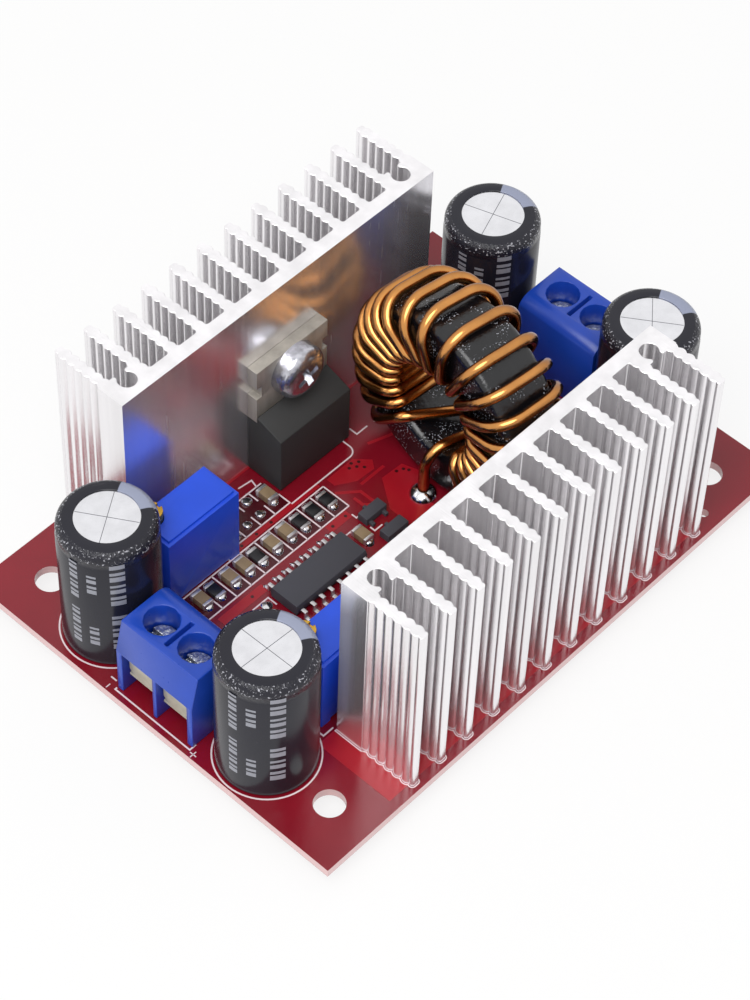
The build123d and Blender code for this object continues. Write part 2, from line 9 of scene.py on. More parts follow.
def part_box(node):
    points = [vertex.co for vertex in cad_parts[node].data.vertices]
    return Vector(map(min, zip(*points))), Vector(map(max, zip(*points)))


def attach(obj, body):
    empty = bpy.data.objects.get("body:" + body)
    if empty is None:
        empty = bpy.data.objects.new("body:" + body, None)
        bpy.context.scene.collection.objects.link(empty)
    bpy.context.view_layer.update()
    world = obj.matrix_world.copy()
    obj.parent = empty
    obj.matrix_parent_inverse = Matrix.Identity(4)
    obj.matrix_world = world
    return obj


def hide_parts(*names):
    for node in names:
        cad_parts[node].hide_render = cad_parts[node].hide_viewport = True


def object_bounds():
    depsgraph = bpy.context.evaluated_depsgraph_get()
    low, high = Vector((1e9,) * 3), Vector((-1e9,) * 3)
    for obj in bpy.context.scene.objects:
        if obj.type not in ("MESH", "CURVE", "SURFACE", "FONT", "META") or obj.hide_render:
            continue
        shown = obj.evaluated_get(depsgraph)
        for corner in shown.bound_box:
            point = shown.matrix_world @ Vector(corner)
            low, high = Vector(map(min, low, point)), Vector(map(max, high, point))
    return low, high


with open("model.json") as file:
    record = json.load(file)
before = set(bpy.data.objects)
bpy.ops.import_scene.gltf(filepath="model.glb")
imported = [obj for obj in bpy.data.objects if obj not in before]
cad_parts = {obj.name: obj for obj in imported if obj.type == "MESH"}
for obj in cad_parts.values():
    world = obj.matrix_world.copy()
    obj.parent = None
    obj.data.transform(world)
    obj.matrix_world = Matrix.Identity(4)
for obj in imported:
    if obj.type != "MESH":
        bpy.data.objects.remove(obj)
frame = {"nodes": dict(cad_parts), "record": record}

# The boost converter module, dressed over its CAD frame: a red board with two finned
# heatsinks, a ring coil, four capacitors, two screw terminals, two trimmers, two power
# devices and a controller with its chip parts. Metres; Z is up; X runs from the output
# terminal to the input terminal.

bl_info = {
    "name": "Boost Converter Dressing",
    "version": (1, 0, 0),
    "blender": (4, 5, 0),
    "location": "3D View > Sidebar > Converter",
    "description": "Detailed pieces and finishes for a boost converter module",
    "category": "Object",
}

cad_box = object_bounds()

# One millimetre, the body that carries the fixed pieces, the board's upper face, the distance
# below which corners are one, the angle up to which faces are one flat face, the angle past
# which an edge is rounded, and the seed of the small parts' unevenness
MM = 0.001
ROOT = "board_assembly"
ON_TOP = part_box("board")[1].z
WELD = 0.0005 * MM
FLAT = math.radians(0.6)
SHARP = math.radians(40)
SEED = 7


def linear(red, green, blue):
    """A screen colour, 0 to 255, as the linear values that shaders use."""
    def channel(value):
        share = value / 255
        return share / 12.92 if share <= 0.04045 else ((share + 0.055) / 1.055) ** 2.4
    return (channel(red), channel(green), channel(blue), 1.0)


def size(name, default, about):
    """A length in millimetres as a Blender property in metres."""
    return bpy.props.FloatProperty(
        name=name, default=default * MM, description=about, unit="LENGTH", precision=5, min=0.0
    )


def position(name, default, about):
    """A place along an axis in millimetres as a Blender property in metres."""
    return bpy.props.FloatProperty(
        name=name, default=default * MM, description=about, unit="LENGTH", precision=5
    )


def colour(name, default, about):
    """A screen colour as a Blender colour property."""
    return bpy.props.FloatVectorProperty(
        name=name, default=linear(*default), description=about, subtype="COLOR", size=4, min=0.0, max=1.0
    )


def amount(name, default, about, low=0.0, high=10.0):
    """A plain number as a Blender property."""
    return bpy.props.FloatProperty(name=name, default=default, description=about, min=low, max=high)


def count(name, default, about):
    """A whole number as a Blender property."""
    return bpy.props.IntProperty(name=name, default=default, description=about, min=1)


def turned(name, default, about):
    """An angle in degrees as a Blender property in radians."""
    return bpy.props.FloatProperty(
        name=name, default=math.radians(default), description=about, subtype="ANGLE"
    )


class BoardLook(bpy.types.PropertyGroup):
    """Sizes and colours of the board, its ink and its pads."""
    mask: colour("Solder mask", (136, 18, 35), "Red lacquer over bare glass fibre")
    copper_mask: colour("Mask over copper", (172, 20, 36), "Red lacquer where copper lies below")
    # The colour called bare is painted shade: a darker mask under the chip row and round the pads, where the
    # parts shade the board.
    bare: colour("Chip shade", (80, 13, 25), "Painted shade round the chip parts")
    laminate: colour("Laminate edge", (226, 190, 190), "Sawn edge of the glass fibre")
    ink: colour("Ink", (240, 222, 226), "White printed ink")
    ink_width: size("Ink line", 0.16, "Width of a printed line")
    ink_height: size("Ink height", 0.03, "How far the ink stands above the mask")
    copper_height: size("Copper height", 0.014, "How far the mask stands up over copper")
    # Height of the dark sheet of painted shade.
    shade_sheet_height: size("Shade height", 0.006, "How far the painted shade sheet stands up")
    trace_width: size("Trace width", 0.35, "Width of a copper trace")
    # Painted shade: the via colour is a dark disc that stands in for the shaded inside of a hole.
    via_shade: colour("Via shade", (58, 10, 16), "Painted shade of a small plated hole")
    via_radius: size("Via radius", 0.2, "Radius of a small plated hole")
    ring_gap: size("Ring gap", 0.28, "From a capacitor to the ring printed round it")
    sign_width: size("Sign line", 0.11, "Width of the lines of the signs and outlines")
    outline_gap: size("Outline gap", 0.1, "From the front heatsink to the line printed round it")
    row_start: position("Row start", -20.75, "X of the first line across the row of chips")
    row_near: position("Row near line", 4.25, "Y of the line along the row's near side")
    row_far: position("Row far line", 7.85, "Y of the line along the row's far side")
    row_pitch: size("Row pitch", 2.005, "Distance from line to line across the row")
    row_cells: count("Row cells", 10, "Chips in the row")
    solder_reach: size("Solder reach", 0.32, "How far solder runs out past a chip's end")
    solder_rise: size("Solder rise", 0.42, "Height of the solder at a chip's end")


class HeatsinkLook(bpy.types.PropertyGroup):
    """Sizes and colour of the two extruded heatsinks."""
    aluminium: colour("Aluminium", (252, 250, 252), "Extruded aluminium")
    fins: count("Fins", 12, "Fins on each heatsink")
    pitch: size("Fin pitch", 3.8, "Distance from fin to fin")
    fin: size("Fin thickness", 1.1, "Mean thickness of a fin")
    plate: size("Plate thickness", 1.6, "Thickness of the plate that carries the fins")
    ripple: size("Ripple", 0.12, "How far a fin's side swells and shrinks")
    ripples: count("Ripples", 7, "Swellings along one side of a fin")
    ripple_steps: count("Ripple steps", 8, "Faces across one swelling")
    tip_length: size("Tip length", 0.5, "Length of a fin's plain tip")
    tip_width: size("Tip width", 1.0, "Width of a fin's tip")
    tip_round: size("Tip rounding", 0.3, "Radius of the tip's corners")
    root_round: size("Root rounding", 0.3, "Radius where a fin leaves the plate")
    channel_radius: size("Channel radius", 1.0, "Radius of the screw channel at each end")
    channel_centre: size("Channel centre", 2.05, "Distance of the channel's axis from the plate's back")
    channel_slot: size("Channel slot", 1.3, "Width of the channel's open side")
    channel_depth: size("Channel depth", 3.2, "How far the channel's boss stands out")
    lip_round: size("Lip rounding", 0.2, "Radius of the channel's lips")
    burr: size("Broken edge", 0.05, "How far the sawn edges are broken")
    hole_gap: size("Hole gap", 0.05, "Clearance round a device's screw")


class CoilLook(bpy.types.PropertyGroup):
    """Sizes and colours of the ring core and its winding."""
    wire: colour("Wire", (216, 150, 82), "Copper under clear amber enamel")
    # Painted shade: the wire's colour darkens to this on the sides seen edge on.
    wire_shade: colour("Wire shade", (114, 65, 27), "The same, darkened as painted shade where seen edge on")
    core: colour("Core coating", (18, 18, 22), "Black coating of the ring")
    # Painted glints: pale flecks that stand in for sparkles of light on the glossy coating.
    core_glint: colour("Core glint", (190, 194, 204), "Pale flecks in the coating")
    wire_radius: size("Wire radius", 0.6, "Radius of the enamelled wire")
    wire_gap: size("Wire gap", 0.05, "Air between the wire and the ring")
    bore_bend: size("Bore bend", 1.4, "Bend where a turn enters the ring's hole")
    rim_bend: size("Rim bend", 3.1, "Bend where a turn goes over the ring's rim")
    rim_gap: size("Rim gap", 0.42, "How far a turn's corners stand off the rim")
    far_gap: size("Far gap", 0.95, "How far they stand off the ring's far face")
    lead_bend: size("Lead bend", 2.6, "Bend where an end turns into the ring's hole")
    bend_steps: count("Bend steps", 9, "Pieces in each bend")
    wire_sides: count("Wire sides", 20, "Faces round the wire")
    core_inner: size("Ring hole radius", 6.2, "Radius of the hole in the ring")
    core_width: size("Ring width", 7.0, "Length of the ring along its axis")
    core_round: size("Ring edge", 0.9, "Radius of the ring's edges")
    yaw: turned("Ring turn", -5.5, "How far the ring's axis is turned from X")
    lead_reach: size("Lead reach", 5.0, "Half the distance between the coil's two ends")
    lead_side: size("Lead side", 0.9, "How far the ends lie beside the ring's middle")
    near_rise: size("Near lead rise", 7.5, "Height where the near end turns into the hole")
    far_rise: size("Far lead rise", 7.2, "Height where the far end turns into the hole")
    first_bore: turned("First turn", -48.0, "Where the first turn lies in the hole")
    last_bore: turned("Last turn", 242.0, "Where the last turn lies in the hole")
    first_skew: turned("First slant", 15.0, "How far the first turn slants over the rim")
    last_skew: turned("Last slant", -8.0, "How far the last turn slants over the rim")


class CapacitorLook(bpy.types.PropertyGroup):
    """Sizes and colours of the four electrolytic capacitors."""
    sleeve: colour("Sleeve", (34, 34, 44), "Blue-black shrink sleeve")
    stripe: colour("Stripe", (150, 156, 178), "Grey stripe down the negative side")
    # Painted glints: pale flecks that stand in for sparkles of light on the sleeve's shoulder.
    shoulder_glint: colour("Shoulder glint", (176, 176, 184), "Bright flecks where the sleeve is shrunk tight")
    can: colour("Can", (236, 236, 240), "Bright drawn aluminium")
    rubber: colour("Rubber", (28, 27, 29), "Rubber bung")
    radius: size("Radius", 5.0, "Outer radius of the sleeve")
    skin: size("Sleeve thickness", 0.15, "Thickness of the sleeve")
    shoulder: size("Shoulder radius", 1.15, "Rounding of the can's top edge")
    disc: size("Disc radius", 3.2, "Radius of the bare top")
    recess: size("Recess", 0.15, "How far the bare top lies below the sleeve's lip")
    score_width: size("Score width", 0.06, "Width of the scored lines in the top")
    # Painted shade: the scored lines' dark colour stands in for the shade in the grooves.
    score_shade: colour("Score shade", (104, 104, 112), "Painted shade in a scored line")
    sides: count("Sides", 96, "Faces round a capacitor")
    stripe_turn: turned("Stripe turn", -1.5, "Direction that the stripe faces")
    stripe_spread: turned("Stripe spread", 29.0, "Half the angle that the stripe covers")
    print_ink: colour("Print", (150, 152, 162), "Pale printed bars on the sleeve")
    print_height: size("Print height", 0.01, "Thickness of the printed bars")


class MouldingLook(bpy.types.PropertyGroup):
    """Edges and colours of the moulded pieces and the metal that they hold."""
    terminal: colour("Terminal", (28, 72, 184), "Blue terminal housings")
    trimmer: colour("Trimmer", (30, 82, 224), "Brighter blue trimmer cases")
    black: colour("Black moulding", (38, 37, 41), "Power devices")
    grey: colour("Controller moulding", (54, 54, 58), "Controller and small transistors")
    tin: colour("Tinned metal", (224, 222, 224), "Leads, pads and chip ends")
    solder: colour("Solder", (240, 240, 242), "Bright solder")
    nickel: colour("Nickel", (206, 206, 214), "Plated screws")
    clamp: colour("Clamp screw", (236, 240, 242), "Bright screws down in the terminals")
    zinc: colour("Zinc", (176, 178, 184), "Zinc-plated steel")
    brass: colour("Brass", (214, 170, 72), "Trimmer screws")
    tab: colour("Tab", (182, 176, 166), "Tinned tab of a power device")
    guard: colour("Guard", (196, 190, 172), "Wire guards of the terminals")
    ceramic: colour("Ceramic", (150, 128, 98), "Tan chip capacitors")
    film: colour("Resistor film", (26, 26, 30), "Black film of the chip resistors")
    edge: size("Moulded edge", 0.12, "Rounding of a moulded edge")
    fine_edge: size("Fine edge", 0.05, "Rounding of a small part's edges")
    head_height: size("Head height", 2.2, "Height of a device screw's head")
    head_face: amount("Head face", 0.55, "Radius of the head's flat face, as a share of the head", high=1.0)
    head_crown: size("Head crown", 1.2, "Height of the head's round part")
    shank: size("Shank radius", 1.5, "Radius of a device screw's shank")
    recess_turn: turned("Cross turn", 20.0, "How far a cross recess is turned")
    recess_width: size("Cross width", 0.8, "Width of one arm of a cross recess")
    recess_reach: size("Cross reach", 1.55, "Length of one arm of a cross recess")
    recess_depth: size("Cross depth", 1.2, "Depth of a cross recess")


class StageLook(bpy.types.PropertyGroup):
    """The photograph's view, the soft light and the floor."""
    lens: amount("Lens", 113.73, "Focal length in millimetres, on a 36 mm sensor", high=500.0)
    azimuth: turned("Azimuth", -48.89, "Direction that the camera looks along")
    elevation: turned("Elevation", 51.13, "Height of the camera above the horizon")
    roll: turned("Roll", 2.46, "Turn of the picture")
    distance: size("Distance", 319.52, "From the camera to its target")
    target: bpy.props.FloatVectorProperty(
        name="Target", default=(1.7 * MM, 2.89 * MM, 1.0 * MM), description="Point in the picture's middle",
        subtype="TRANSLATION", size=3,
    )
    sky: amount("Sky", 0.62, "Strength of the soft light from all round")
    lamp: amount("Lamp", 2.1, "Power of the large soft lamp, in watts")
    lamp_width: size("Lamp width", 450.0, "Diameter of the lamp")
    lamp_place: bpy.props.FloatVectorProperty(
        name="Lamp place", default=(-0.28, -0.12, 0.5), description="Where the lamp hangs",
        subtype="TRANSLATION", size=3,
    )
    floor: colour("Floor", (244, 243, 242), "Pale floor")


class ConverterLook(bpy.types.PropertyGroup):
    """Everything that can be set."""
    board: bpy.props.PointerProperty(type=BoardLook)
    heatsink: bpy.props.PointerProperty(type=HeatsinkLook)
    coil: bpy.props.PointerProperty(type=CoilLook)
    capacitor: bpy.props.PointerProperty(type=CapacitorLook)
    moulding: bpy.props.PointerProperty(type=MouldingLook)
    stage: bpy.props.PointerProperty(type=StageLook)


def look():
    """The scene's own settings."""
    return bpy.context.scene.converter_look


# Reading the frame


def middle(node):
    """Middle of a CAD node's box."""
    low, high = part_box(node)
    return (low + high) / 2


def carrier(node):
    """Name of the body that a CAD node rides on."""
    bodies = frame["record"]["behaviour"]["bodies"]
    return next(body for body, nodes in bodies.items() if node in nodes)


def merged(node):
    """A CAD node's mesh with its loose triangles joined into one skin."""
    skin = bmesh.new()
    skin.from_mesh(frame["nodes"][node].data)
    bmesh.ops.remove_doubles(skin, verts=skin.verts, dist=WELD)
    return skin


def solids_in(node):
    """Lowest and highest corner of each separate solid in a CAD node."""
    skin = merged(node)
    waiting = set(skin.verts)
    boxes = []
    while waiting:
        front = [waiting.pop()]
        solid = list(front)
        while front:
            vert = front.pop()
            for edge in vert.link_edges:
                other = edge.other_vert(vert)
                if other in waiting:
                    waiting.remove(other)
                    front.append(other)
                    solid.append(other)
        low = Vector([min(vert.co[axis] for vert in solid) for axis in range(3)])
        high = Vector([max(vert.co[axis] for vert in solid) for axis in range(3)])
        boxes.append((low, high))
    skin.free()
    return sorted(boxes, key=lambda box: (round(box[0].y, 5), round(box[0].x, 5), round(box[0].z, 5)))


# Making and finishing pieces


def add_piece(name, mesh, material, body=ROOT, nodes=()):
    """A new piece of the object, which rides on a body and may stand for CAD nodes."""
    piece = bpy.data.objects.new(name, mesh)
    bpy.context.scene.collection.objects.link(piece)
    mesh.materials.clear()
    mesh.materials.append(material)
    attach(piece, body)
    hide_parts(*nodes)


def mesh_from(skin, name, outward=True):
    """A Blender mesh of a finished skin."""
    if outward:
        bmesh.ops.recalc_face_normals(skin, faces=skin.faces)
    mesh = bpy.data.meshes.new(name)
    skin.to_mesh(mesh)
    skin.free()
    return mesh


def shaped(mesh, name, kind, settings):
    """The mesh after a modifier of a kind, with its settings."""
    holder = bpy.data.objects.new(name + "_holder", mesh)
    bpy.context.scene.collection.objects.link(holder)
    modifier = holder.modifiers.new(kind, kind)
    for key, value in settings.items():
        setattr(modifier, key, value)
    graph = bpy.context.evaluated_depsgraph_get()
    result = bpy.data.meshes.new_from_object(holder.evaluated_get(graph))
    bpy.data.objects.remove(holder)
    result.name = name
    return result


def rounded(mesh, name, width, segments):
    """The mesh with its sharp edges rounded and shaded smooth."""
    mesh.shade_smooth()
    return shaped(mesh, name, "BEVEL", {
        "width": width, "segments": segments, "limit_method": "ANGLE", "angle_limit": SHARP,
        "harden_normals": True, "use_clamp_overlap": True, "miter_outer": "MITER_ARC",
    })


def smooth_by_angle(mesh, angle):
    """Smooth shading except over sharp edges."""
    mesh.shade_smooth()
    mesh.set_sharp_from_angle(angle=math.radians(angle))
    return mesh


def cut_out(mesh, name, cutter_mesh):
    """The mesh less the solid of another mesh."""
    cutter = bpy.data.objects.new(name + "_cutter", cutter_mesh)
    bpy.context.scene.collection.objects.link(cutter)
    settings = {"object": cutter, "operation": "DIFFERENCE", "solver": "EXACT"}
    result = shaped(mesh, name, "BOOLEAN", settings)
    bpy.data.objects.remove(cutter)
    return result


def finished_copy(node, material, edge, segments=2):
    """A CAD node's own form with its flat faces joined and its edges rounded."""
    skin = merged(node)
    bmesh.ops.dissolve_limit(skin, angle_limit=FLAT, verts=skin.verts, edges=skin.edges)
    name = node + "_finished"
    mesh = rounded(mesh_from(skin, name, outward=False), name, edge, segments)
    add_piece(name, mesh, material, carrier(node), (node,))


def lathe(skin, profile, centre, sides, closed=False):
    """Turn a profile of radius and height pairs about an upright axis."""
    rings = []
    for radius, height in profile:
        if radius <= 0:
            rings.append([skin.verts.new(centre + Vector((0, 0, height)))])
            continue
        ring = []
        for step in range(sides):
            angle = math.tau * step / sides
            ring.append(skin.verts.new(
                centre + Vector((radius * math.cos(angle), radius * math.sin(angle), height))
            ))
        rings.append(ring)
    following = rings[1:] + (rings[:1] if closed else [])
    for lower, upper in zip(rings, following):
        for step in range(sides):
            corners = [
                lower[step % len(lower)], lower[(step + 1) % len(lower)],
                upper[(step + 1) % len(upper)], upper[step % len(upper)],
            ]
            unique = list(dict.fromkeys(corners))
            if len(unique) > 2:
                skin.faces.new(unique)


def prism(skin, outline, low, high, taper=1.0):
    """Extrude an outline of x, y points from one height to another, narrower below by a taper."""
    bottom = [skin.verts.new((x * taper, y * taper, low)) for x, y in outline]
    top = [skin.verts.new((x, y, high)) for x, y in outline]
    skin.faces.new(bottom)
    skin.faces.new(top)
    for step in range(len(outline)):
        after = (step + 1) % len(outline)
        skin.faces.new([bottom[step], bottom[after], top[after], top[step]])


def arc(centre_x, centre_y, radius, start, end, steps):
    """Points on an arc, angles in degrees."""
    points = []
    for step in range(steps + 1):
        angle = math.radians(start + (end - start) * step / steps)
        points.append((centre_x + radius * math.cos(angle), centre_y + radius * math.sin(angle)))
    return points


# Node trees


def feed(link, value, socket):
    """Link a socket to another, or give it a plain number, vector or colour."""
    if isinstance(value, bpy.types.NodeSocket):
        link(value, socket)
    else:
        socket.default_value = value


def worked(nodes, link, operation, *values):
    """Result of a maths node whose inputs are sockets or plain numbers."""
    node = nodes.new("ShaderNodeMath")
    node.operation = operation
    for value, socket in zip(values, node.inputs):
        feed(link, value, socket)
    return node.outputs["Value"]


def threshold(nodes, link, source, low, high, least=0.0):
    """A mask that rises from the least value to 1 as a value goes from low to high."""
    step = nodes.new("ShaderNodeMapRange")
    step.inputs["From Min"].default_value = low
    step.inputs["From Max"].default_value = high
    feed(link, least, step.inputs["To Min"])
    link(source, step.inputs["Value"])
    return step.outputs["Result"]


def noise(nodes, link, vector, scale, detail):
    """Cloudy noise, 0 to 1, along a vector."""
    texture = nodes.new("ShaderNodeTexNoise")
    texture.inputs["Detail"].default_value = detail
    feed(link, scale, texture.inputs["Scale"])
    link(vector, texture.inputs["Vector"])
    return texture.outputs["Fac"]


def mapped(nodes, link, vector, label, value):
    """A vector with one change from a Mapping node: its Location, Rotation or Scale."""
    mapping = nodes.new("ShaderNodeMapping")
    mapping.inputs[label].default_value = value
    link(vector, mapping.inputs["Vector"])
    return mapping.outputs["Vector"]


def split(nodes, link, vector):
    """The X, Y and Z of a vector."""
    parts = nodes.new("ShaderNodeSeparateXYZ")
    link(vector, parts.inputs["Vector"])
    return parts.outputs["X"], parts.outputs["Y"], parts.outputs["Z"]


def blend_colours(nodes, link, mask, first, second):
    """Mix of two colours by a mask. Each is a socket or a plain colour."""
    mix = nodes.new("ShaderNodeMix")
    mix.data_type = "RGBA"
    link(mask, mix.inputs["Factor"])
    feed(link, first, mix.inputs["A"])
    feed(link, second, mix.inputs["B"])
    return mix.outputs["Result"]


def tree_with(name, sockets):
    """A geometry node tree with named inputs and one geometry output."""
    tree = bpy.data.node_groups.new(name, "GeometryNodeTree")
    tree.interface.new_socket("Geometry", in_out="INPUT", socket_type="NodeSocketGeometry")
    for label, kind in sockets:
        tree.interface.new_socket(label, in_out="INPUT", socket_type="NodeSocket" + kind)
    tree.interface.new_socket("Geometry", in_out="OUTPUT", socket_type="NodeSocketGeometry")
    return tree, tree.nodes.new("NodeGroupInput"), tree.nodes.new("NodeGroupOutput")


def close_tree(tree, source, start, end):
    """Realise the instances, give them the material and put them out."""
    real = tree.nodes.new("GeometryNodeRealizeInstances")
    paint = tree.nodes.new("GeometryNodeSetMaterial")
    tree.links.new(source, real.inputs["Geometry"])
    tree.links.new(real.outputs["Geometry"], paint.inputs["Geometry"])
    tree.links.new(start.outputs["Material"], paint.inputs["Material"])
    tree.links.new(paint.outputs["Geometry"], end.inputs["Geometry"])


def wire_tree():
    """Round wire along a line of corners, with every corner bent to its own radius."""
    tree, start, end = tree_with("Bent wire", (
        ("Wire radius", "Float"), ("Bend steps", "Int"), ("Sides", "Int"), ("Material", "Material"),
    ))
    radius = tree.nodes.new("GeometryNodeInputNamedAttribute")
    radius.data_type = "FLOAT"
    radius.inputs["Name"].default_value = "bend"
    line = tree.nodes.new("GeometryNodeMeshToCurve")
    bend = tree.nodes.new("GeometryNodeFilletCurve")
    bend.mode = "POLY"
    section = tree.nodes.new("GeometryNodeCurvePrimitiveCircle")
    wire = tree.nodes.new("GeometryNodeCurveToMesh")
    wire.inputs["Fill Caps"].default_value = True
    bend.inputs["Limit Radius"].default_value = True
    link = tree.links.new
    link(start.outputs["Geometry"], line.inputs["Mesh"])
    link(line.outputs["Curve"], bend.inputs["Curve"])
    link(start.outputs["Bend steps"], bend.inputs["Count"])
    link(radius.outputs["Attribute"], bend.inputs["Radius"])
    link(start.outputs["Sides"], section.inputs["Resolution"])
    link(start.outputs["Wire radius"], section.inputs["Radius"])
    link(bend.outputs["Curve"], wire.inputs["Curve"])
    link(section.outputs["Curve"], wire.inputs["Profile Curve"])
    close_tree(tree, wire.outputs["Mesh"], start, end)


def scatter_tree():
    """One small part on every point, turned by the point's own angle, each a little different."""
    tree, start, end = tree_with("Small parts", (
        ("Part", "Object"), ("Unevenness", "Float"), ("Seed", "Int"), ("Material", "Material"),
    ))
    part = tree.nodes.new("GeometryNodeObjectInfo")
    part.transform_space = "ORIGINAL"
    copies = tree.nodes.new("GeometryNodeInstanceOnPoints")
    angle = tree.nodes.new("GeometryNodeInputNamedAttribute")
    angle.data_type = "FLOAT"
    angle.inputs["Name"].default_value = "turn"
    turn = tree.nodes.new("ShaderNodeCombineXYZ")
    spread = tree.nodes.new("FunctionNodeRandomValue")
    spread.data_type = "FLOAT"
    link = tree.links.new
    smallest = worked(tree.nodes, link, "SUBTRACT", 1.0, start.outputs["Unevenness"])
    link(start.outputs["Part"], part.inputs["Object"])
    link(smallest, spread.inputs[2])
    spread.inputs[3].default_value = 1.0
    link(start.outputs["Seed"], spread.inputs["Seed"])
    link(angle.outputs["Attribute"], turn.inputs["Z"])
    link(start.outputs["Geometry"], copies.inputs["Points"])
    link(part.outputs["Geometry"], copies.inputs["Instance"])
    link(turn.outputs["Vector"], copies.inputs["Rotation"])
    link(spread.outputs[1], copies.inputs["Scale"])
    close_tree(tree, copies.outputs["Instances"], start, end)


def grown(mesh, name, tree, values):
    """The plain mesh that a geometry node tree makes from a mesh of points or lines."""
    holder = bpy.data.objects.new(name + "_holder", mesh)
    bpy.context.scene.collection.objects.link(holder)
    modifier = holder.modifiers.new(tree.name, "NODES")
    modifier.node_group = tree
    sockets = {
        item.name: item.identifier
        for item in tree.interface.items_tree
        if item.item_type == "SOCKET" and item.in_out == "INPUT"
    }
    for label, value in values.items():
        modifier[sockets[label]] = value
    graph = bpy.context.evaluated_depsgraph_get()
    result = bpy.data.meshes.new_from_object(holder.evaluated_get(graph))
    holder.modifiers.remove(modifier)
    bpy.data.objects.remove(holder)
    result.name = name
    return result


def scattered(name, part_mesh, spots, material, unevenness=0.0, turns=None):
    """Copies of a small part at a list of spots, as one plain mesh."""
    points = bpy.data.meshes.new(name + "_points")
    points.from_pydata([tuple(spot) for spot in spots], [], [])
    turn = points.attributes.new("turn", "FLOAT", "POINT")
    turn.data.foreach_set("value", list(turns or [0.0] * len(spots)))
    part = bpy.data.objects.new(name + "_part", part_mesh)
    bpy.context.scene.collection.objects.link(part)
    result = grown(points, name, bpy.data.node_groups["Small parts"], {
        "Part": part, "Unevenness": unevenness, "Seed": SEED, "Material": material,
    })
    bpy.data.objects.remove(part)
    return result


# Finishes


def finish_group():
    """Cloudy tone, fine grain and uneven gloss from noise, for any finish."""
    group = bpy.data.node_groups.new("Worn finish", "ShaderNodeTree")
    for label, kind in (
        ("Vector", "Vector"), ("Colour", "Color"), ("Tone size", "Float"), ("Tone", "Float"),
        ("Grain size", "Float"), ("Roughness", "Float"), ("Spread", "Float"),
    ):
        group.interface.new_socket(label, in_out="INPUT", socket_type="NodeSocket" + kind)
    for label, kind in (("Colour", "Color"), ("Roughness", "Float"), ("Height", "Float")):
        group.interface.new_socket(label, in_out="OUTPUT", socket_type="NodeSocket" + kind)
    nodes = group.nodes
    link = group.links.new
    start = nodes.new("NodeGroupInput")
    end = nodes.new("NodeGroupOutput")
    cloud = noise(nodes, link, start.outputs["Vector"], start.outputs["Tone size"], 3.0)
    grain = noise(nodes, link, start.outputs["Vector"], start.outputs["Grain size"], 4.0)
    darkest = worked(nodes, link, "SUBTRACT", 1.0, start.outputs["Tone"])
    tone = threshold(nodes, link, cloud, 0.3, 0.7, darkest)
    tint = nodes.new("ShaderNodeVectorMath")
    tint.operation = "SCALE"
    link(start.outputs["Colour"], tint.inputs[0])
    link(tone, tint.inputs["Scale"])
    gloss = worked(
        nodes, link, "MULTIPLY_ADD", grain, start.outputs["Spread"], start.outputs["Roughness"]
    )
    link(tint.outputs["Vector"], end.inputs["Colour"])
    link(gloss, end.inputs["Roughness"])
    link(grain, end.inputs["Height"])


def finish(name, tint, roughness, metallic=0.0, coat=0.0, tone=0.12, tone_size=250.0,
           grain_size=3000.0, grain_height=0.003, spread=0.08, stretch=(1, 1, 1)):
    """A material whose colour, gloss and grain vary over the surface."""
    material = bpy.data.materials.new(name)
    material.use_nodes = True
    nodes = material.node_tree.nodes
    link = material.node_tree.links.new
    shader = nodes["Principled BSDF"]
    worn = nodes.new("ShaderNodeGroup")
    worn.node_tree = bpy.data.node_groups["Worn finish"]
    worn.name = "Worn finish"
    for label, value in (
        ("Colour", tint), ("Tone size", tone_size), ("Tone", tone), ("Grain size", grain_size),
        ("Roughness", roughness - spread / 2), ("Spread", spread),
    ):
        worn.inputs[label].default_value = value
    bump = nodes.new("ShaderNodeBump")
    bump.name = "Grain bump"
    bump.inputs["Distance"].default_value = grain_height * MM
    bump.inputs["Strength"].default_value = 1.0
    shader.inputs["Metallic"].default_value = metallic
    shader.inputs["Coat Weight"].default_value = coat
    shader.inputs["Coat Roughness"].default_value = 0.05
    here = nodes.new("ShaderNodeTexCoord").outputs["Object"]
    link(mapped(nodes, link, here, "Scale", stretch), worn.inputs["Vector"])
    link(worn.outputs["Colour"], shader.inputs["Base Color"])
    link(worn.outputs["Roughness"], shader.inputs["Roughness"])
    link(worn.outputs["Height"], bump.inputs["Height"])
    link(bump.outputs["Normal"], shader.inputs["Normal"])
    return material


def parts_of(material):
    """What a finish is made of: its nodes, their link function, its shader and its worn group."""
    nodes = material.node_tree.nodes
    return nodes, material.node_tree.links.new, nodes["Principled BSDF"], nodes["Worn finish"]


def board_finish(settings):
    """Glossy red mask on both faces and bare laminate on the edges and in the holes."""
    material = finish(
        "red_mask", settings.mask, 0.2, tone=0.16, tone_size=140, grain_size=1500,
        grain_height=0.004, spread=0.1,
    )
    nodes, link, shader, worn = parts_of(material)
    here = nodes.new("ShaderNodeTexCoord").outputs["Object"]
    height = split(nodes, link, here)[2]
    skin = 0.03 * MM
    above = threshold(nodes, link, height, ON_TOP - skin, ON_TOP - skin / 2)
    below = threshold(nodes, link, height, skin, skin / 2)
    both = worked(nodes, link, "MAXIMUM", above, below)
    tint = blend_colours(nodes, link, both, settings.laminate, worn.outputs["Colour"])
    link(tint, shader.inputs["Base Color"])


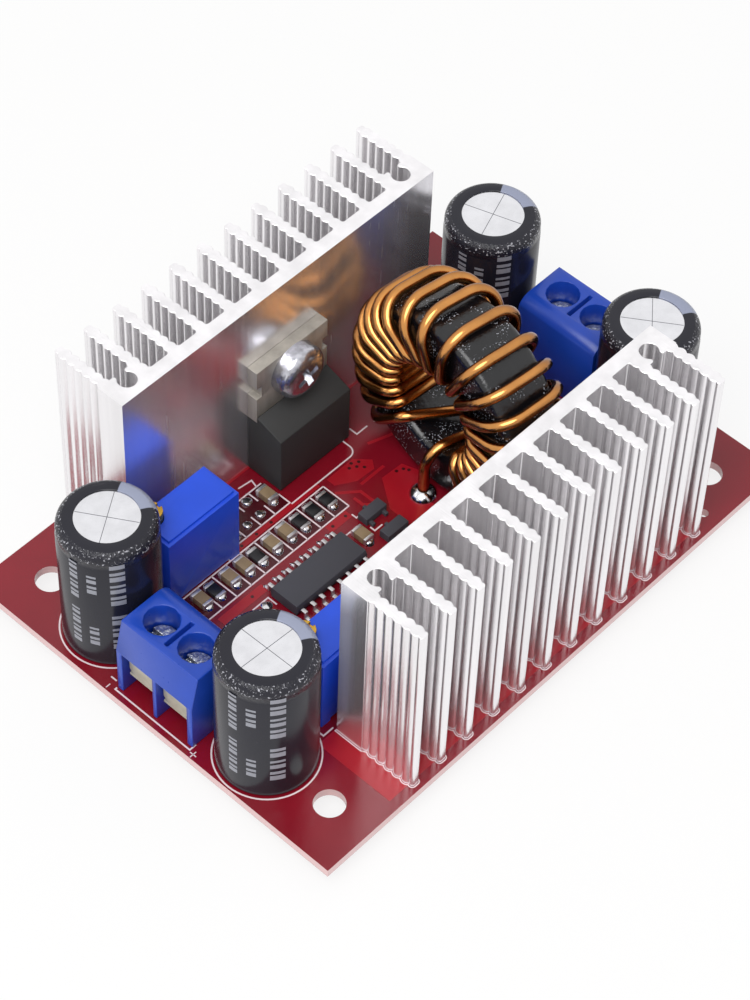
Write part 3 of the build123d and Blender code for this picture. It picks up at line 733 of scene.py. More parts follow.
def aluminium_finish(settings):
    """Extruded metal with die lines that run up, and saw marks across its cut ends."""
    material = finish(
        "extruded_metal", settings.aluminium, 0.24, metallic=0.88, tone=0.14, tone_size=500,
        grain_size=2600, grain_height=0.006, spread=0.16, stretch=(1, 1, 0.025),
    )
    nodes, link, shader, worn = parts_of(material)
    place = nodes.new("ShaderNodeTexCoord")
    upward = worked(nodes, link, "ABSOLUTE", split(nodes, link, place.outputs["Normal"])[2])
    sawn = threshold(nodes, link, upward, 0.6, 0.8)
    strokes = nodes.new("ShaderNodeMapping")
    strokes.inputs["Rotation"].default_value = (0, 0, math.radians(78))
    strokes.inputs["Scale"].default_value = (1, 0.05, 1)
    link(place.outputs["Object"], strokes.inputs["Vector"])
    marks = noise(nodes, link, strokes.outputs["Vector"], 5000, 3)
    deeper = worked(nodes, link, "MULTIPLY", marks, 5.0)
    height = blend_colours(nodes, link, sawn, worn.outputs["Height"], deeper)
    link(height, nodes["Grain bump"].inputs["Height"])
    gloss = worked(nodes, link, "MULTIPLY_ADD", sawn, 0.16, worn.outputs["Roughness"])
    link(gloss, shader.inputs["Roughness"])


def sleeve_finish(settings, number):
    """Blue-black sleeve, with painted glints as pale flecks where it is shrunk over the shoulder, and a grey
    stripe.
    """
    centre = middle(f"capacitor_{number}_can")
    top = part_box(f"capacitor_{number}_sleeve")[1].z
    material = finish(
        f"shrink_sleeve_{number}", settings.sleeve, 0.2, tone=0.25, tone_size=160,
        grain_size=900, grain_height=0.004, spread=0.1, stretch=(1, 1, 0.4),
    )
    nodes, link, shader, worn = parts_of(material)
    shader.inputs["Specular IOR Level"].default_value = 0.35
    here = nodes.new("ShaderNodeTexCoord").outputs["Object"]
    centred = mapped(nodes, link, here, "Location", (-centre.x, -centre.y, 0))
    x, y, z = split(nodes, link, centred)
    turn = worked(nodes, link, "ARCTAN2", y, x)
    first = settings.stripe_turn - settings.stripe_spread
    last = settings.stripe_turn + settings.stripe_spread
    soft = math.radians(1.0)
    after = threshold(nodes, link, turn, first - soft, first)
    before = threshold(nodes, link, turn, last + soft, last)
    inside = worked(nodes, link, "MULTIPLY", after, before)
    tint = blend_colours(nodes, link, inside, worn.outputs["Colour"], settings.stripe)
    start = threshold(nodes, link, z, top - 2.0 * MM, top - 1.2 * MM)
    stop = threshold(nodes, link, z, top - 0.02 * MM, top - 0.12 * MM)
    shoulder = worked(nodes, link, "MULTIPLY", start, stop)
    # Painted glints: noise in the shoulder band becomes pale flecks, and it also raises the bump.
    glint_speckle = worked(nodes, link, "MULTIPLY", shoulder, noise(nodes, link, here, 4200, 2))
    glint_mask = threshold(nodes, link, glint_speckle, 0.6, 0.66)
    glinted = blend_colours(nodes, link, glint_mask, tint, settings.shoulder_glint)
    height = worked(nodes, link, "MULTIPLY_ADD", glint_speckle, 30.0, worn.outputs["Height"])
    link(glinted, shader.inputs["Base Color"])
    link(height, nodes["Grain bump"].inputs["Height"])
    return material


def wire_finish(settings):
    """Copper under amber enamel, with painted shade: darker where it is seen edge on."""
    material = finish(
        "wire", settings.wire, 0.2, metallic=1.0, coat=0.3, tone=0.25, tone_size=420,
        grain_size=2200, grain_height=0.003, spread=0.12,
    )
    nodes, link, shader, worn = parts_of(material)
    slant = nodes.new("ShaderNodeLayerWeight")
    slant.inputs["Blend"].default_value = 0.5
    # Painted shade: the colour darkens toward the sides that are seen edge on.
    edge = threshold(nodes, link, slant.outputs["Facing"], 0.12, 0.8)
    tint = blend_colours(nodes, link, edge, worn.outputs["Colour"], settings.wire_shade)
    link(tint, shader.inputs["Base Color"])


def core_finish(settings):
    """Glossy black coating with painted glints: pale flecks in patches."""
    material = finish(
        "core", settings.core, 0.2, coat=0.2, tone=0.4, tone_size=1500, grain_size=2400,
        grain_height=0.06, spread=0.2,
    )
    nodes, link, shader, worn = parts_of(material)
    here = nodes.new("ShaderNodeTexCoord").outputs["Object"]
    # Painted glints: pale flecks, only inside noise patches.
    glints = threshold(nodes, link, noise(nodes, link, here, 5200, 2), 0.62, 0.66)
    glint_patches = threshold(nodes, link, noise(nodes, link, here, 420, 2), 0.5, 0.58)
    both = worked(nodes, link, "MULTIPLY", glints, glint_patches)
    tint = blend_colours(nodes, link, both, worn.outputs["Colour"], settings.core_glint)
    link(tint, shader.inputs["Base Color"])


def make_finishes():
    """Every finish of the module."""
    if "Worn finish" not in bpy.data.node_groups:
        finish_group()
        wire_tree()
        scatter_tree()
    board = look().board
    coil = look().coil
    can = look().capacitor
    moulding = look().moulding
    board_finish(board)
    aluminium_finish(look().heatsink)
    finish("copper_mask", board.copper_mask, 0.3, tone=0.1, tone_size=300, grain_size=2000)
    # Painted shade: the darker mask laid under the chip parts.
    finish("chip_ground", board.bare, 0.24, tone=0.3, tone_size=900, grain_size=2000)
    finish("sleeve_ink", can.print_ink, 0.3, tone=0.15, tone_size=2000, grain_size=5000)
    finish("ink", board.ink, 0.5, tone=0.06, tone_size=2000, grain_size=6000)
    # Painted shade for the vias.
    finish("via_shade", board.via_shade, 0.3, tone=0.1)
    wire_finish(coil)
    core_finish(coil)
    finish("can", can.can, 0.22, metallic=1.0, tone=0.1, tone_size=700, grain_size=2400,
           grain_height=0.006, spread=0.14)
    # Painted shade for the scored lines.
    finish("score_shade_line", can.score_shade, 0.4, metallic=0.6, tone=0.2, tone_size=1500)
    finish("rubber", can.rubber, 0.6, grain_height=0.01)
    finish("terminal", moulding.terminal, 0.3, tone=0.1, tone_size=260, grain_size=2500,
           grain_height=0.004, spread=0.12)
    finish("trimmer", moulding.trimmer, 0.34, tone=0.1, tone_size=260, grain_size=2500,
           grain_height=0.004, spread=0.12)
    finish("black_moulding", moulding.black, 0.5, tone=0.2, grain_size=9000, grain_height=0.01)
    finish("grey_moulding", moulding.grey, 0.5, tone=0.15, grain_size=9000, grain_height=0.008)
    finish("tin", moulding.tin, 0.34, metallic=0.85, tone=0.2, tone_size=1800, grain_size=5200,
           grain_height=0.02, spread=0.2)
    finish("solder", moulding.solder, 0.24, metallic=0.85, tone=0.15, tone_size=1500,
           grain_size=3200, grain_height=0.2, spread=0.15)
    finish("nickel", moulding.nickel, 0.22, metallic=0.9, tone=0.4, tone_size=1500,
           grain_size=1300, grain_height=0.06, spread=0.2)
    finish("clamp_screw", moulding.clamp, 0.2, metallic=0.8, tone=0.5, tone_size=2600,
           grain_size=1500, grain_height=0.3, spread=0.1)
    finish("zinc", moulding.zinc, 0.3, metallic=1.0, tone=0.2, grain_size=3000, spread=0.15)
    finish("brass", moulding.brass, 0.26, metallic=1.0, tone=0.2, tone_size=1200,
           grain_size=3000, grain_height=0.008, spread=0.15)
    finish("tab", moulding.tab, 0.46, metallic=0.4, tone=0.25, tone_size=900, grain_size=3200,
           grain_height=0.012, spread=0.2, stretch=(1, 1, 0.15))
    finish("guard", moulding.guard, 0.42, metallic=0.3, tone=0.25, tone_size=900,
           grain_size=3600, grain_height=0.01, spread=0.2)
    finish("ceramic", moulding.ceramic, 0.4, tone=0.15, tone_size=1500, grain_size=7000)
    finish("film", moulding.film, 0.3, tone=0.2, tone_size=1500, grain_size=7000)


def use(name):
    """A finish by its name."""
    return bpy.data.materials[name]


def paint_node(node, name):
    """Give a CAD node that stays in view its finish."""
    data = frame["nodes"][node].data
    data.materials.clear()
    data.materials.append(use(name))


# The pieces


class CONVERTER_OT_finishes(bpy.types.Operator):
    """Make the shader groups, the geometry trees and every finish"""
    bl_idname = "converter.finishes"
    bl_label = "Finishes"

    def execute(self, context):
        make_finishes()
        return {"FINISHED"}


def ribbon(skin, points, width, low, high, closed=False):
    """A flat strip of even width along a line of x, y points, with mitred corners."""
    count_of = len(points)
    sides = []
    for index, point in enumerate(points):
        here = Vector(point)
        before = Vector(points[index - 1]) if closed or index else None
        after = Vector(points[(index + 1) % count_of]) if closed or index < count_of - 1 else None
        into = (here - before).normalized() if before is not None else (after - here).normalized()
        out = (after - here).normalized() if after is not None else into
        along = (into + out).normalized()
        across = Vector((-along.y, along.x))
        reach = width / 2 / max(0.35, across.dot(Vector((-into.y, into.x))))
        sides.append((here + across * reach, here - across * reach))
    corners = [
        [skin.verts.new((*spot, height)) for spot, height in (
            (left, low), (left, high), (right, high), (right, low)
        )]
        for left, right in sides
    ]
    spans = count_of if closed else count_of - 1
    for index in range(spans):
        one, two = corners[index], corners[(index + 1) % count_of]
        for edge in range(4):
            step = (edge + 1) % 4
            skin.faces.new([one[edge], two[edge], two[step], one[step]])
    if not closed:
        skin.faces.new(corners[0])
        skin.faces.new(corners[-1])


def in_metres(points):
    """Points in millimetres as points in metres."""
    return [(x * MM, y * MM) for x, y in points]


def rectangle(left, near, right, far):
    """Corners of a rectangle."""
    return ((left, near), (right, near), (right, far), (left, far))


# Printed lines on the board, in millimetres
PRINTED_LINES = (
    ((-12.4, 8.8), (-4.57, 8.8), (-4.57, 10.4)),
    ((-10.8, 8.8), (-10.8, 10.45)),
    ((-8.65, 8.8), (-8.65, 10.3)),
    ((-6.65, 8.8), (-6.65, 10.4)),
    ((-8.6, 11.25), (-8.6, 12.65), (-4.8, 12.65)),
    ((-6.65, 11.25), (-6.65, 12.65)),
    ((-6.9, 13.8), (-5.2, 13.6), (-5.45, 12.65)),
    ((-23.2, 8.27), (-14.04, 8.27), (-14.04, 7.95)),
    ((-20.8, 4.25), (-20.8, 2.3)),
    ((-21.5, 4.75), (-20.8, 4.75)),
    ((-21.4, 7.0), (-21.3, 6.4), (-20.9, 6.0)),
    ((-32.0, -5.3), (-32.85, -5.3), (-32.85, 4.85), (-32.6, 4.85)),
    ((-32.07, 5.45), (-32.07, 6.2)),
    ((32.0, 5.5), (32.85, 5.5), (32.85, -5.5), (32.0, -5.5)),
    ((6.75, 11.2), (6.75, 10.15), (8.3, 10.15)),
    ((-16.8, 0.8), (-16.8, 2.0), (-14.7, 2.0), (-14.7, 0.8)),
    ((-3.75, 1.85), (-2.0, 1.85)),
    ((-1.3, 3.3), (-1.3, 2.65), (-0.8, 2.65)),
    ((-1.2, 0.85), (-1.2, 0.2), (-0.1, 0.2)),
    ((-22.85, -12.75), (-22.85, -13.3), (-21.5, -13.3)),
    ((-23.4, -12.75), (-22.85, -12.75)),
)
POLARITY_MARKS = (
    ((-33.3, 5.65), (-32.75, 5.65)),
    ((-33.42, -5.9), (-32.6, -5.9)),
    ((-33.0, -6.3), (-33.0, -5.5)),
    ((33.42, 5.9), (32.6, 5.9)),
    ((33.0, 6.3), (33.0, 5.5)),
    ((33.3, -5.65), (32.75, -5.65)),
)
DEVICE_LINE_Y = 8.57
DEVICE_LINE_START = -4.57
DEVICE_CORNER = (4.05, 9.57)
DEVICE_CORNER_RADIUS = 1.0
DEVICE_LINE_END = 12.0

# Copper below the mask, in millimetres
COPPER_PATCHES = (
    rectangle(-13.0, 8.1, -0.9, 8.68),
    rectangle(-20.05, 2.65, -14.0, 3.7),
    rectangle(-4.4, 3.1, -1.4, 4.1),
    ((0.2, 7.1), (2.3, 5.85), (4.65, 5.75), (5.4, 6.7), (4.0, 8.2), (0.2, 8.2)),
    ((1.9, -4.0), (5.2, -4.0), (5.8, 1.1), (8.0, 1.4), (7.1, 4.2), (4.3, 4.35), (1.9, 1.0)),
    rectangle(-23.9, -22.9, 22.3, -13.6),
    rectangle(-21.6, 14.9, 23.2, 23.1),
    rectangle(14.2, -5.5, 20.5, 5.0),
    ((-13.0, 9.2), (-12.2, 9.2), (-12.2, 12.9), (-9.2, 14.4), (-13.0, 14.4)),
)
COPPER_TRACES = (
    ((-0.5, 6.4), (1.5, 4.7), (1.5, 2.75)),
    ((2.2, 5.3), (5.6, 5.3)),
    ((0.4, 4.6), (0.4, 3.4), (1.2, 2.6)),
    ((6.6, 8.5), (9.2, 7.6), (14.0, 7.6)),
    ((-24.5, -4.0), (-22.0, -4.0), (-20.0, -6.0)),
)
VIAS = (
    (-11.9, 8.4), (-9.8, 8.4), (-7.7, 8.4), (-15.7, 3.2), (-3.75, 3.6), (-1.9, 3.6), (2.9, 7.6),
    (3.5, 7.9), (3.6, 7.2), (4.2, 7.5), (4.1, 6.6), (6.0, 3.9), (6.7, 3.6), (7.0, 3.1),
    (-13.4, 6.6), (17.2, 3.4), (18.4, 3.4), (17.8, 2.4),
)
BARE_PADS = ((-7.7, 12.0), (-7.85, 9.9), (-9.75, 9.85), (-11.6, 9.6), (-15.75, 1.35))
# Painted shade: the dark sheet round the bare pads, in millimetres.
PAD_SHADE = rectangle(-12.0, 8.9, -4.6, 12.6)


def board_print(settings):
    """Every printed line: rings, the row of chips, outlines and the signs at the terminals."""
    ink = bmesh.new()
    low, high = ON_TOP, ON_TOP + settings.ink_height
    width = settings.ink_width

    def line(points, wide=width):
        ribbon(ink, in_metres(points), wide, low, high)

    for number in range(1, 5):
        spot = middle(f"capacitor_{number}_can")
        radius = look().capacitor.radius + settings.ring_gap
        ribbon(ink, arc(spot.x, spot.y, radius, 0, 360, 64)[:-1], width, low, high, closed=True)
    end = settings.row_start + settings.row_pitch * settings.row_cells
    for across in (settings.row_near, settings.row_far):
        ribbon(ink, [(settings.row_start, across), (end, across)], width, low, high)
    for step in range(settings.row_cells + 1):
        along = settings.row_start + settings.row_pitch * step
        ribbon(ink, [(along, settings.row_near), (along, settings.row_far)], width, low, high)
    for points in PRINTED_LINES:
        line(points)
    for points in POLARITY_MARKS:
        line(points, settings.sign_width)
    corner_x, corner_y = DEVICE_CORNER
    corner = arc(corner_x, corner_y, DEVICE_CORNER_RADIUS, 270, 360, 6)
    line([(DEVICE_LINE_START, DEVICE_LINE_Y), *corner, (corner[-1][0], DEVICE_LINE_END)])
    around = offset_outline(placed_outline(look().heatsink, "heatsink_front"), settings.outline_gap)
    ribbon(ink, around, settings.sign_width, low, high, closed=True)
    return mesh_from(ink, "board_ink")


def chip_joints():
    """Place and outward direction of each soldered end of a chip part."""
    bodies = [
        (low + high) / 2
        for node in ("chip_capacitors", "chip_resistors") for low, high in solids_in(node)
    ]
    joints = []
    for low, high in solids_in("chip_ends"):
        spot = (low + high) / 2
        nearest = min(bodies, key=lambda body: (body.xy - spot.xy).length)
        out = (spot.xy - nearest.xy).normalized()
        toe = spot.xy + out * (high.y - low.y) / 2
        joints.append((toe, out))
    return joints


def lead_joints():
    """The same for each lead of the controller."""
    spot = middle("controller_body")
    joints = []
    for low, high in solids_in("controller_leads"):
        side = 1 if (low.y + high.y) / 2 > spot.y else -1
        toe = Vector(((low.x + high.x) / 2, high.y if side > 0 else low.y))
        joints.append((toe, Vector((0, side))))
    return joints


def solder_wedge(width, reach, rise):
    """A small pillow of solder that falls away from an end, at the origin, pointing along X."""
    sides = 14
    skin = bmesh.new()
    rings = []
    for height, back, front, half in (
        (0, 0.5, 1.0, 0.5), (0.3, 0.5, 0.85, 0.47), (0.65, 0.5, 0.5, 0.42), (0.92, 0.45, 0.15, 0.32),
    ):
        ring = []
        for step in range(sides):
            angle = math.tau * step / sides
            along = math.cos(angle)
            length = (front if along > 0 else back) * reach
            ring.append(skin.verts.new((along * length, math.sin(angle) * half * width, height * rise)))
        rings.append(ring)
    for lower, upper in zip(rings, rings[1:]):
        for step in range(sides):
            after = (step + 1) % sides
            skin.faces.new([lower[step], lower[after], upper[after], upper[step]])
    skin.faces.new(rings[0])
    skin.faces.new(rings[-1])
    return mesh_from(skin, "solder_wedge")


def lay_copper(settings):
    """Mask that stands up a little over wide copper and traces."""
    copper = bmesh.new()
    high = ON_TOP + settings.copper_height
    for corners in COPPER_PATCHES:
        prism(copper, in_metres(corners), ON_TOP, high)
    for points in COPPER_TRACES:
        ribbon(copper, in_metres(points), settings.trace_width, ON_TOP, high)
    mesh = mesh_from(copper, "board_copper")
    add_piece("board_copper", mesh, use("copper_mask"))


def lay_chip_shade(settings):
    """Painted shade: a dark sheet of mask under the row of chips and round the bare pads."""
    ground = bmesh.new()
    high = ON_TOP + settings.shade_sheet_height
    end = settings.row_start + settings.row_pitch * settings.row_cells
    row = rectangle(settings.row_start, settings.row_near, end, settings.row_far)
    prism(ground, row, ON_TOP, high)
    prism(ground, in_metres(PAD_SHADE), ON_TOP, high)
    mesh = mesh_from(ground, "chip_ground")
    add_piece("chip_ground", mesh, use("chip_ground"))


def sink_vias(settings):
    """A small dark disc at each via's place: painted shade that stands in for a plated hole."""
    radius = settings.via_radius
    rise = settings.copper_height + 0.004 * MM
    profile = [(0, 0), (radius, 0), (radius, rise * 0.6), (radius * 0.8, rise), (0, rise)]
    hole = bmesh.new()
    lathe(hole, profile, Vector(), 14)
    spots = [(x, y, ON_TOP) for x, y in in_metres(VIAS)]
    vias = scattered("board_vias", mesh_from(hole, "via_shade"), spots, use("via_shade"))
    add_piece("board_vias", vias, use("via_shade"))


def solder_at(name, joints, width, reach, rise, unevenness):
    """A pillow of solder at each joint, which is a place on the board and a direction."""
    wedge = solder_wedge(width, reach, rise)
    spots = [(toe.x, toe.y, ON_TOP) for toe, out in joints]
    turns = [math.atan2(out.y, out.x) for toe, out in joints]
    pillows = scattered(name, wedge, spots, use("solder"), unevenness, turns)
    add_piece(name, smooth_by_angle(pillows, 60), use("solder"))


class CONVERTER_OT_board(bpy.types.Operator):
    """Finish the board and lay the copper relief, the dark sheet of painted shade, the ink, the vias and the
    solder on it
    """
    bl_idname = "converter.board"
    bl_label = "Board"

    def execute(self, context):
        settings = look().board
        paint_node("board", "red_mask")
        lay_copper(settings)
        lay_chip_shade(settings)
        add_piece("board_ink", board_print(settings), use("ink"))
        sink_vias(settings)
        reach = settings.solder_reach
        rise = settings.solder_rise
        solder_at("chip_solder", chip_joints(), 1.2 * MM, reach * 1.6, rise, 0.15)
        solder_at("lead_solder", lead_joints(), 0.55 * MM, reach * 1.2, rise * 0.55, 0.15)
        pads = [(Vector(pad), Vector((1, 0))) for pad in in_metres(BARE_PADS)]
        solder_at("pad_solder", pads, 1.3 * MM, 0.9 * MM, 0.35 * MM, 0.2)
        return {"FINISHED"}


def fin_half(settings, deep, run):
    """Half the thickness of a fin at a depth, where its side swells and shrinks."""
    share = min(1.0, max(0.0, (deep - settings.plate) / run))
    swell = abs(math.sin(math.pi * settings.ripples * share)) * 2 - 1
    return settings.fin / 2 + settings.ripple * swell


def fin_side(settings, depth, start):
    """Half width and depth of points up one side of a fin, from a depth to its tip."""
    run = depth - settings.tip_length - settings.plate
    root = settings.root_round
    if start > settings.plate:
        points = [(fin_half(settings, start, run), start)]
    else:
        start += root
        points = arc(fin_half(settings, start, run) + root, start, root, 270, 180, 4)
    steps = settings.ripples * settings.ripple_steps
    for step in range(steps + 1):
        deep = settings.plate + run * step / steps
        if deep > start:
            points.append((fin_half(settings, deep, run), deep))
    flat = settings.tip_width / 2 - settings.tip_round
    return points + arc(flat, depth - settings.tip_round, settings.tip_round, 0, 90, 5)


def channel_points(settings, centre):
    """The open screw channel, from its right lip round its wall to its left lip."""
    slot = settings.channel_slot / 2
    lip = settings.lip_round
    top = settings.channel_depth - lip
    mouth = math.degrees(math.acos(slot / settings.channel_radius))
    right = arc(centre + slot + lip, top, lip, 90, 180, 4)
    wall = arc(centre, settings.channel_centre, settings.channel_radius, mouth, -180 - mouth, 24)
    left = arc(centre - slot - lip, top, lip, 0, 90, 4)
    return right + wall + left


def extrusion_outline(settings, length, depth):
    """The extrusion's outline: plate, rippled fins, and an open screw channel at each end."""
    half = length / 2
    boss = settings.channel_depth
    last = settings.fins - 1
    outline = [(-half, 0), (half, 0), (half, boss)]
    for number in reversed(range(settings.fins)):
        centre = (number - last / 2) * settings.pitch
        right = boss if number in (last, last - 1, 0) else settings.plate
        left = boss if number in (last, 1, 0) else settings.plate
        outline += [(centre + out, deep) for out, deep in fin_side(settings, depth, right)]
        outline += [(centre - out, deep) for out, deep in reversed(fin_side(settings, depth, left))]
        if number in (last, 1):
            outline += channel_points(settings, centre - settings.pitch / 2)
    outline.append((-half, boss))
    return outline


def placed_outline(settings, node):
    """A heatsink's outline on the board. The front one is turned half way round."""
    low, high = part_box(node)
    middle_x = (low.x + high.x) / 2
    outline = extrusion_outline(settings, high.x - low.x, high.y - low.y)
    if middle(node).y > 0:
        return [(middle_x + along, low.y + out) for along, out in outline]
    return [(middle_x - along, high.y - out) for along, out in outline]


def offset_outline(outline, gap):
    """A closed outline moved outward by a gap, or inward where the gap is below zero."""
    moved = []
    for index, point in enumerate(outline):
        here = Vector(point)
        into = (here - Vector(outline[index - 1])).normalized()
        away = (Vector(outline[(index + 1) % len(outline)]) - here).normalized()
        along = (into + away).normalized()
        outward = Vector((along.y, -along.x))
        reach = gap / max(0.5, outward.dot(Vector((into.y, -into.x))))
        moved.append(tuple(here + outward * reach))
    return moved


def extruded(outline, low, high, burr):
    """Upright sides and flat sawn ends, with the edges between them slightly broken."""
    skin = bmesh.new()
    inner = offset_outline(outline, -burr)
    rings = [
        [skin.verts.new((x, y, height)) for x, y in points]
        for points, height in ((inner, low), (outline, low + burr), (outline, high - burr), (inner, high))
    ]
    for lower, upper in zip(rings, rings[1:]):
        for step in range(len(outline)):
            after = (step + 1) % len(outline)
            skin.faces.new([lower[step], lower[after], upper[after], upper[step]])
    skin.faces.new(list(reversed(rings[0])))
    skin.faces.new(rings[-1])
    return skin


def drilled(body, name, node, device):
    """A heatsink less the hole for its device's screw through the plate."""
    settings = look().heatsink
    low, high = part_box(node)
    back = low.y if middle(node).y > 0 else high.y
    screw = middle(f"{device}_screw")
    radius = look().moulding.shank + settings.hole_gap
    reach = settings.plate * 1.5
    drill = bmesh.new()
    lathe(drill, [(0, -reach), (radius, -reach), (radius, reach), (0, reach)], Vector(), 40)
    turn = Matrix.Translation((screw.x, back, screw.z)) @ Matrix.Rotation(math.pi / 2, 4, "X")
    bmesh.ops.transform(drill, matrix=turn, verts=drill.verts)
    return cut_out(body, name, mesh_from(drill, name + "_drill"))


class CONVERTER_OT_heatsinks(bpy.types.Operator):
    """Extrude both finned heatsinks and finish the screws that hold them"""
    bl_idname = "converter.heatsinks"
    bl_label = "Heatsinks"

    def execute(self, context):
        settings = look().heatsink
        for node, device in (("heatsink_front", "rectifier"), ("heatsink_rear", "transistor")):
            low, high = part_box(node)
            name = node + "_extrusion"
            skin = extruded(placed_outline(settings, node), low.z, high.z, settings.burr)
            mesh = drilled(mesh_from(skin, name, outward=False), name, node, device)
            smooth_by_angle(mesh, 34)
            add_piece(name, mesh, use("extruded_metal"), nodes=(node,))
        finished_copy("heatsink_screws", use("zinc"), 0.25 * MM, segments=3)
        return {"FINISHED"}


# Where each turn of the coil crosses the ring's rim, in degrees round the ring's axis
RIM_ANGLES = (
    -45.5, -31, -19, -6.5, 4.5, 19.5, 29.5, 39.5, 50, 66, 81,
    99, 117, 133, 148, 162, 177, 191, 205, 219, 233,
)


def coil_route(settings):
    """Corners of the whole wire with their bends: up from the board, round the ring, and down."""
    low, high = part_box("inductor_core")
    centre = (low + high) / 2
    outer = (high.z - low.z) / 2
    stand_off = settings.wire_gap + settings.wire_radius
    inside = settings.core_inner - stand_off
    outside = outer + stand_off + settings.rim_gap
    face = settings.core_width / 2 + stand_off
    rim_face = face + settings.rim_gap
    far_face = face + settings.far_gap
    axis = Vector((math.cos(settings.yaw), math.sin(settings.yaw), 0))
    side = Vector((-math.sin(settings.yaw), math.cos(settings.yaw), 0))

    def ring_point(along, radius, turn):
        return (
            centre + axis * along + side * (radius * math.cos(turn))
            + Vector((0, 0, radius * math.sin(turn)))
        )

    near_foot, far_foot = [
        Vector((centre.x, centre.y, 0)) + axis * reach * settings.lead_reach - side * settings.lead_side
        for reach in (-1, 1)
    ]
    turns = len(RIM_ANGLES)
    step = (settings.last_bore - settings.first_bore) / turns
    corners = [(far_foot, 0), (far_foot + Vector((0, 0, settings.far_rise)), settings.lead_bend)]
    for turn, rim_angle in enumerate(RIM_ANGLES):
        bore = settings.first_bore + step * turn
        skew = settings.first_skew + (settings.last_skew - settings.first_skew) * turn / (turns - 1)
        rim = math.radians(rim_angle)
        corners.append((ring_point(-face, inside, bore), settings.bore_bend))
        corners.append((ring_point(-rim_face, outside, rim), settings.rim_bend))
        corners.append((ring_point(far_face, outside, rim + skew), settings.rim_bend))
        corners.append((ring_point(face, inside, bore + step), settings.bore_bend))
    corners.append((near_foot + Vector((0, 0, settings.near_rise)), settings.lead_bend))
    corners.append((near_foot, 0))
    return corners


def ring_mesh(settings):
    """The ring core, turned from its rounded section and laid on its axis."""
    low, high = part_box("inductor_core")
    outer = (high.z - low.z) / 2
    half = settings.core_width / 2
    edge = settings.core_round
    profile = []
    for radius, height, start in (
        (outer - edge, half - edge, 0), (settings.core_inner + edge, half - edge, 90),
        (settings.core_inner + edge, edge - half, 180), (outer - edge, edge - half, 270),
    ):
        profile += arc(radius, height, edge, start, start + 90, 5)
    skin = bmesh.new()
    lathe(skin, profile, Vector(), 128, closed=True)
    lie_down = Matrix.Rotation(settings.yaw, 4, "Z") @ Matrix.Rotation(math.pi / 2, 4, "Y")
    place = Matrix.Translation((low + high) / 2) @ lie_down
    bmesh.ops.transform(skin, matrix=place, verts=skin.verts)
    return smooth_by_angle(mesh_from(skin, "ring_core"), 50)


def wound_wire(settings):
    """The wire's mesh, grown along its route."""
    route = coil_route(settings)
    links = [(step, step + 1) for step in range(len(route) - 1)]
    line = bpy.data.meshes.new("coil_route")
    line.from_pydata([tuple(corner) for corner, bend in route], links, [])
    bends = line.attributes.new("bend", "FLOAT", "POINT")
    bends.data.foreach_set("value", [bend for corner, bend in route])
    wire = grown(line, "coil_wire", bpy.data.node_groups["Bent wire"], {
        "Wire radius": settings.wire_radius, "Bend steps": settings.bend_steps,
        "Sides": settings.wire_sides, "Material": use("wire"),
    })
    wire.shade_smooth()
    return wire


class CONVERTER_OT_coil(bpy.types.Operator):
    """Make the ring core and wind the enamelled wire round it"""
    bl_idname = "converter.coil"
    bl_label = "Coil"

    def execute(self, context):
        settings = look().coil
        core = ring_mesh(settings)
        add_piece("ring_core", core, use("core"), nodes=("inductor_core",))
        wire = wound_wire(settings)
        add_piece("coil_wire", wire, use("wire"), nodes=("inductor_winding",))
        return {"FINISHED"}


def sleeve_profile(settings, foot, top):
    """Closed profile of the sleeve: straight wall, round shoulder and turned-in lip."""
    radius = settings.radius
    inner = radius - settings.skin
    shoulder = settings.shoulder
    bulge = 0.05 * MM
    outside = [
        (radius, foot), (radius, top - 2.2 * MM), (radius - bulge, top - 2.0 * MM),
        (radius - bulge * 1.6, top - 1.7 * MM), (radius - bulge, top - 1.4 * MM),
    ]
    outside += arc(radius - shoulder - bulge, top - shoulder, shoulder, 0, 90, 10)
    lip = settings.skin * 0.9
    outside += arc(settings.disc + lip / 2, top - lip / 2, lip / 2, 90, 270, 6)
    inside = arc(inner - shoulder, top - shoulder - lip * 0.2, shoulder - lip * 0.8, 90, 0, 8)
    inside = [(min(r, inner), z) for r, z in inside]
    return outside + inside + [(inner, foot)]


# Direction of the two scored lines in each capacitor's top, in degrees
SCORE_TURNS = {1: (-3.0, 91.0), 2: (33.0, 122.0), 3: (20.0, 108.0), 4: (39.0, 124.0)}
# Printed rows of bars on a sleeve: direction and half the angle covered, in degrees, then where
# the row starts and ends above the board, in millimetres, and how many bars it has
PRINTED_ROWS = (
    (-124.0, 8.5, 9.6, 16.0, 7),
    (-124.0, 8.5, 2.8, 8.4, 6),
    (-153.0, 5.5, 11.2, 14.4, 4),
    (-153.0, 5.5, 3.2, 6.4, 4),
    (-175.0, 5.5, 9.8, 15.6, 8),
    (-175.0, 5.5, 2.8, 8.6, 8),
)
BAR_SHARES = (0.72, 0.45, 0.62, 0.35)
MINUS_BARS = ((4.5, 6.7), (8.0, 10.2), (11.5, 13.7))


def wrapped_bar(skin, centre, radius, turn, spread, low, high):
    """A thin bar that lies on an upright round wall."""
    steps = 6
    rings = []
    for reach, height in ((radius[0], low), (radius[0], high), (radius[1], high), (radius[1], low)):
        rings.append([
            skin.verts.new(centre + Vector((reach * math.cos(angle), reach * math.sin(angle), height)))
            for angle in (turn + spread * (2 * step / steps - 1) for step in range(steps + 1))
        ])
    for index in range(4):
        one, two = rings[index], rings[(index + 1) % 4]
        for step in range(steps):
            skin.faces.new([one[step], one[step + 1], two[step + 1], two[step]])
    skin.faces.new([ring[0] for ring in rings])
    skin.faces.new([ring[-1] for ring in reversed(rings)])


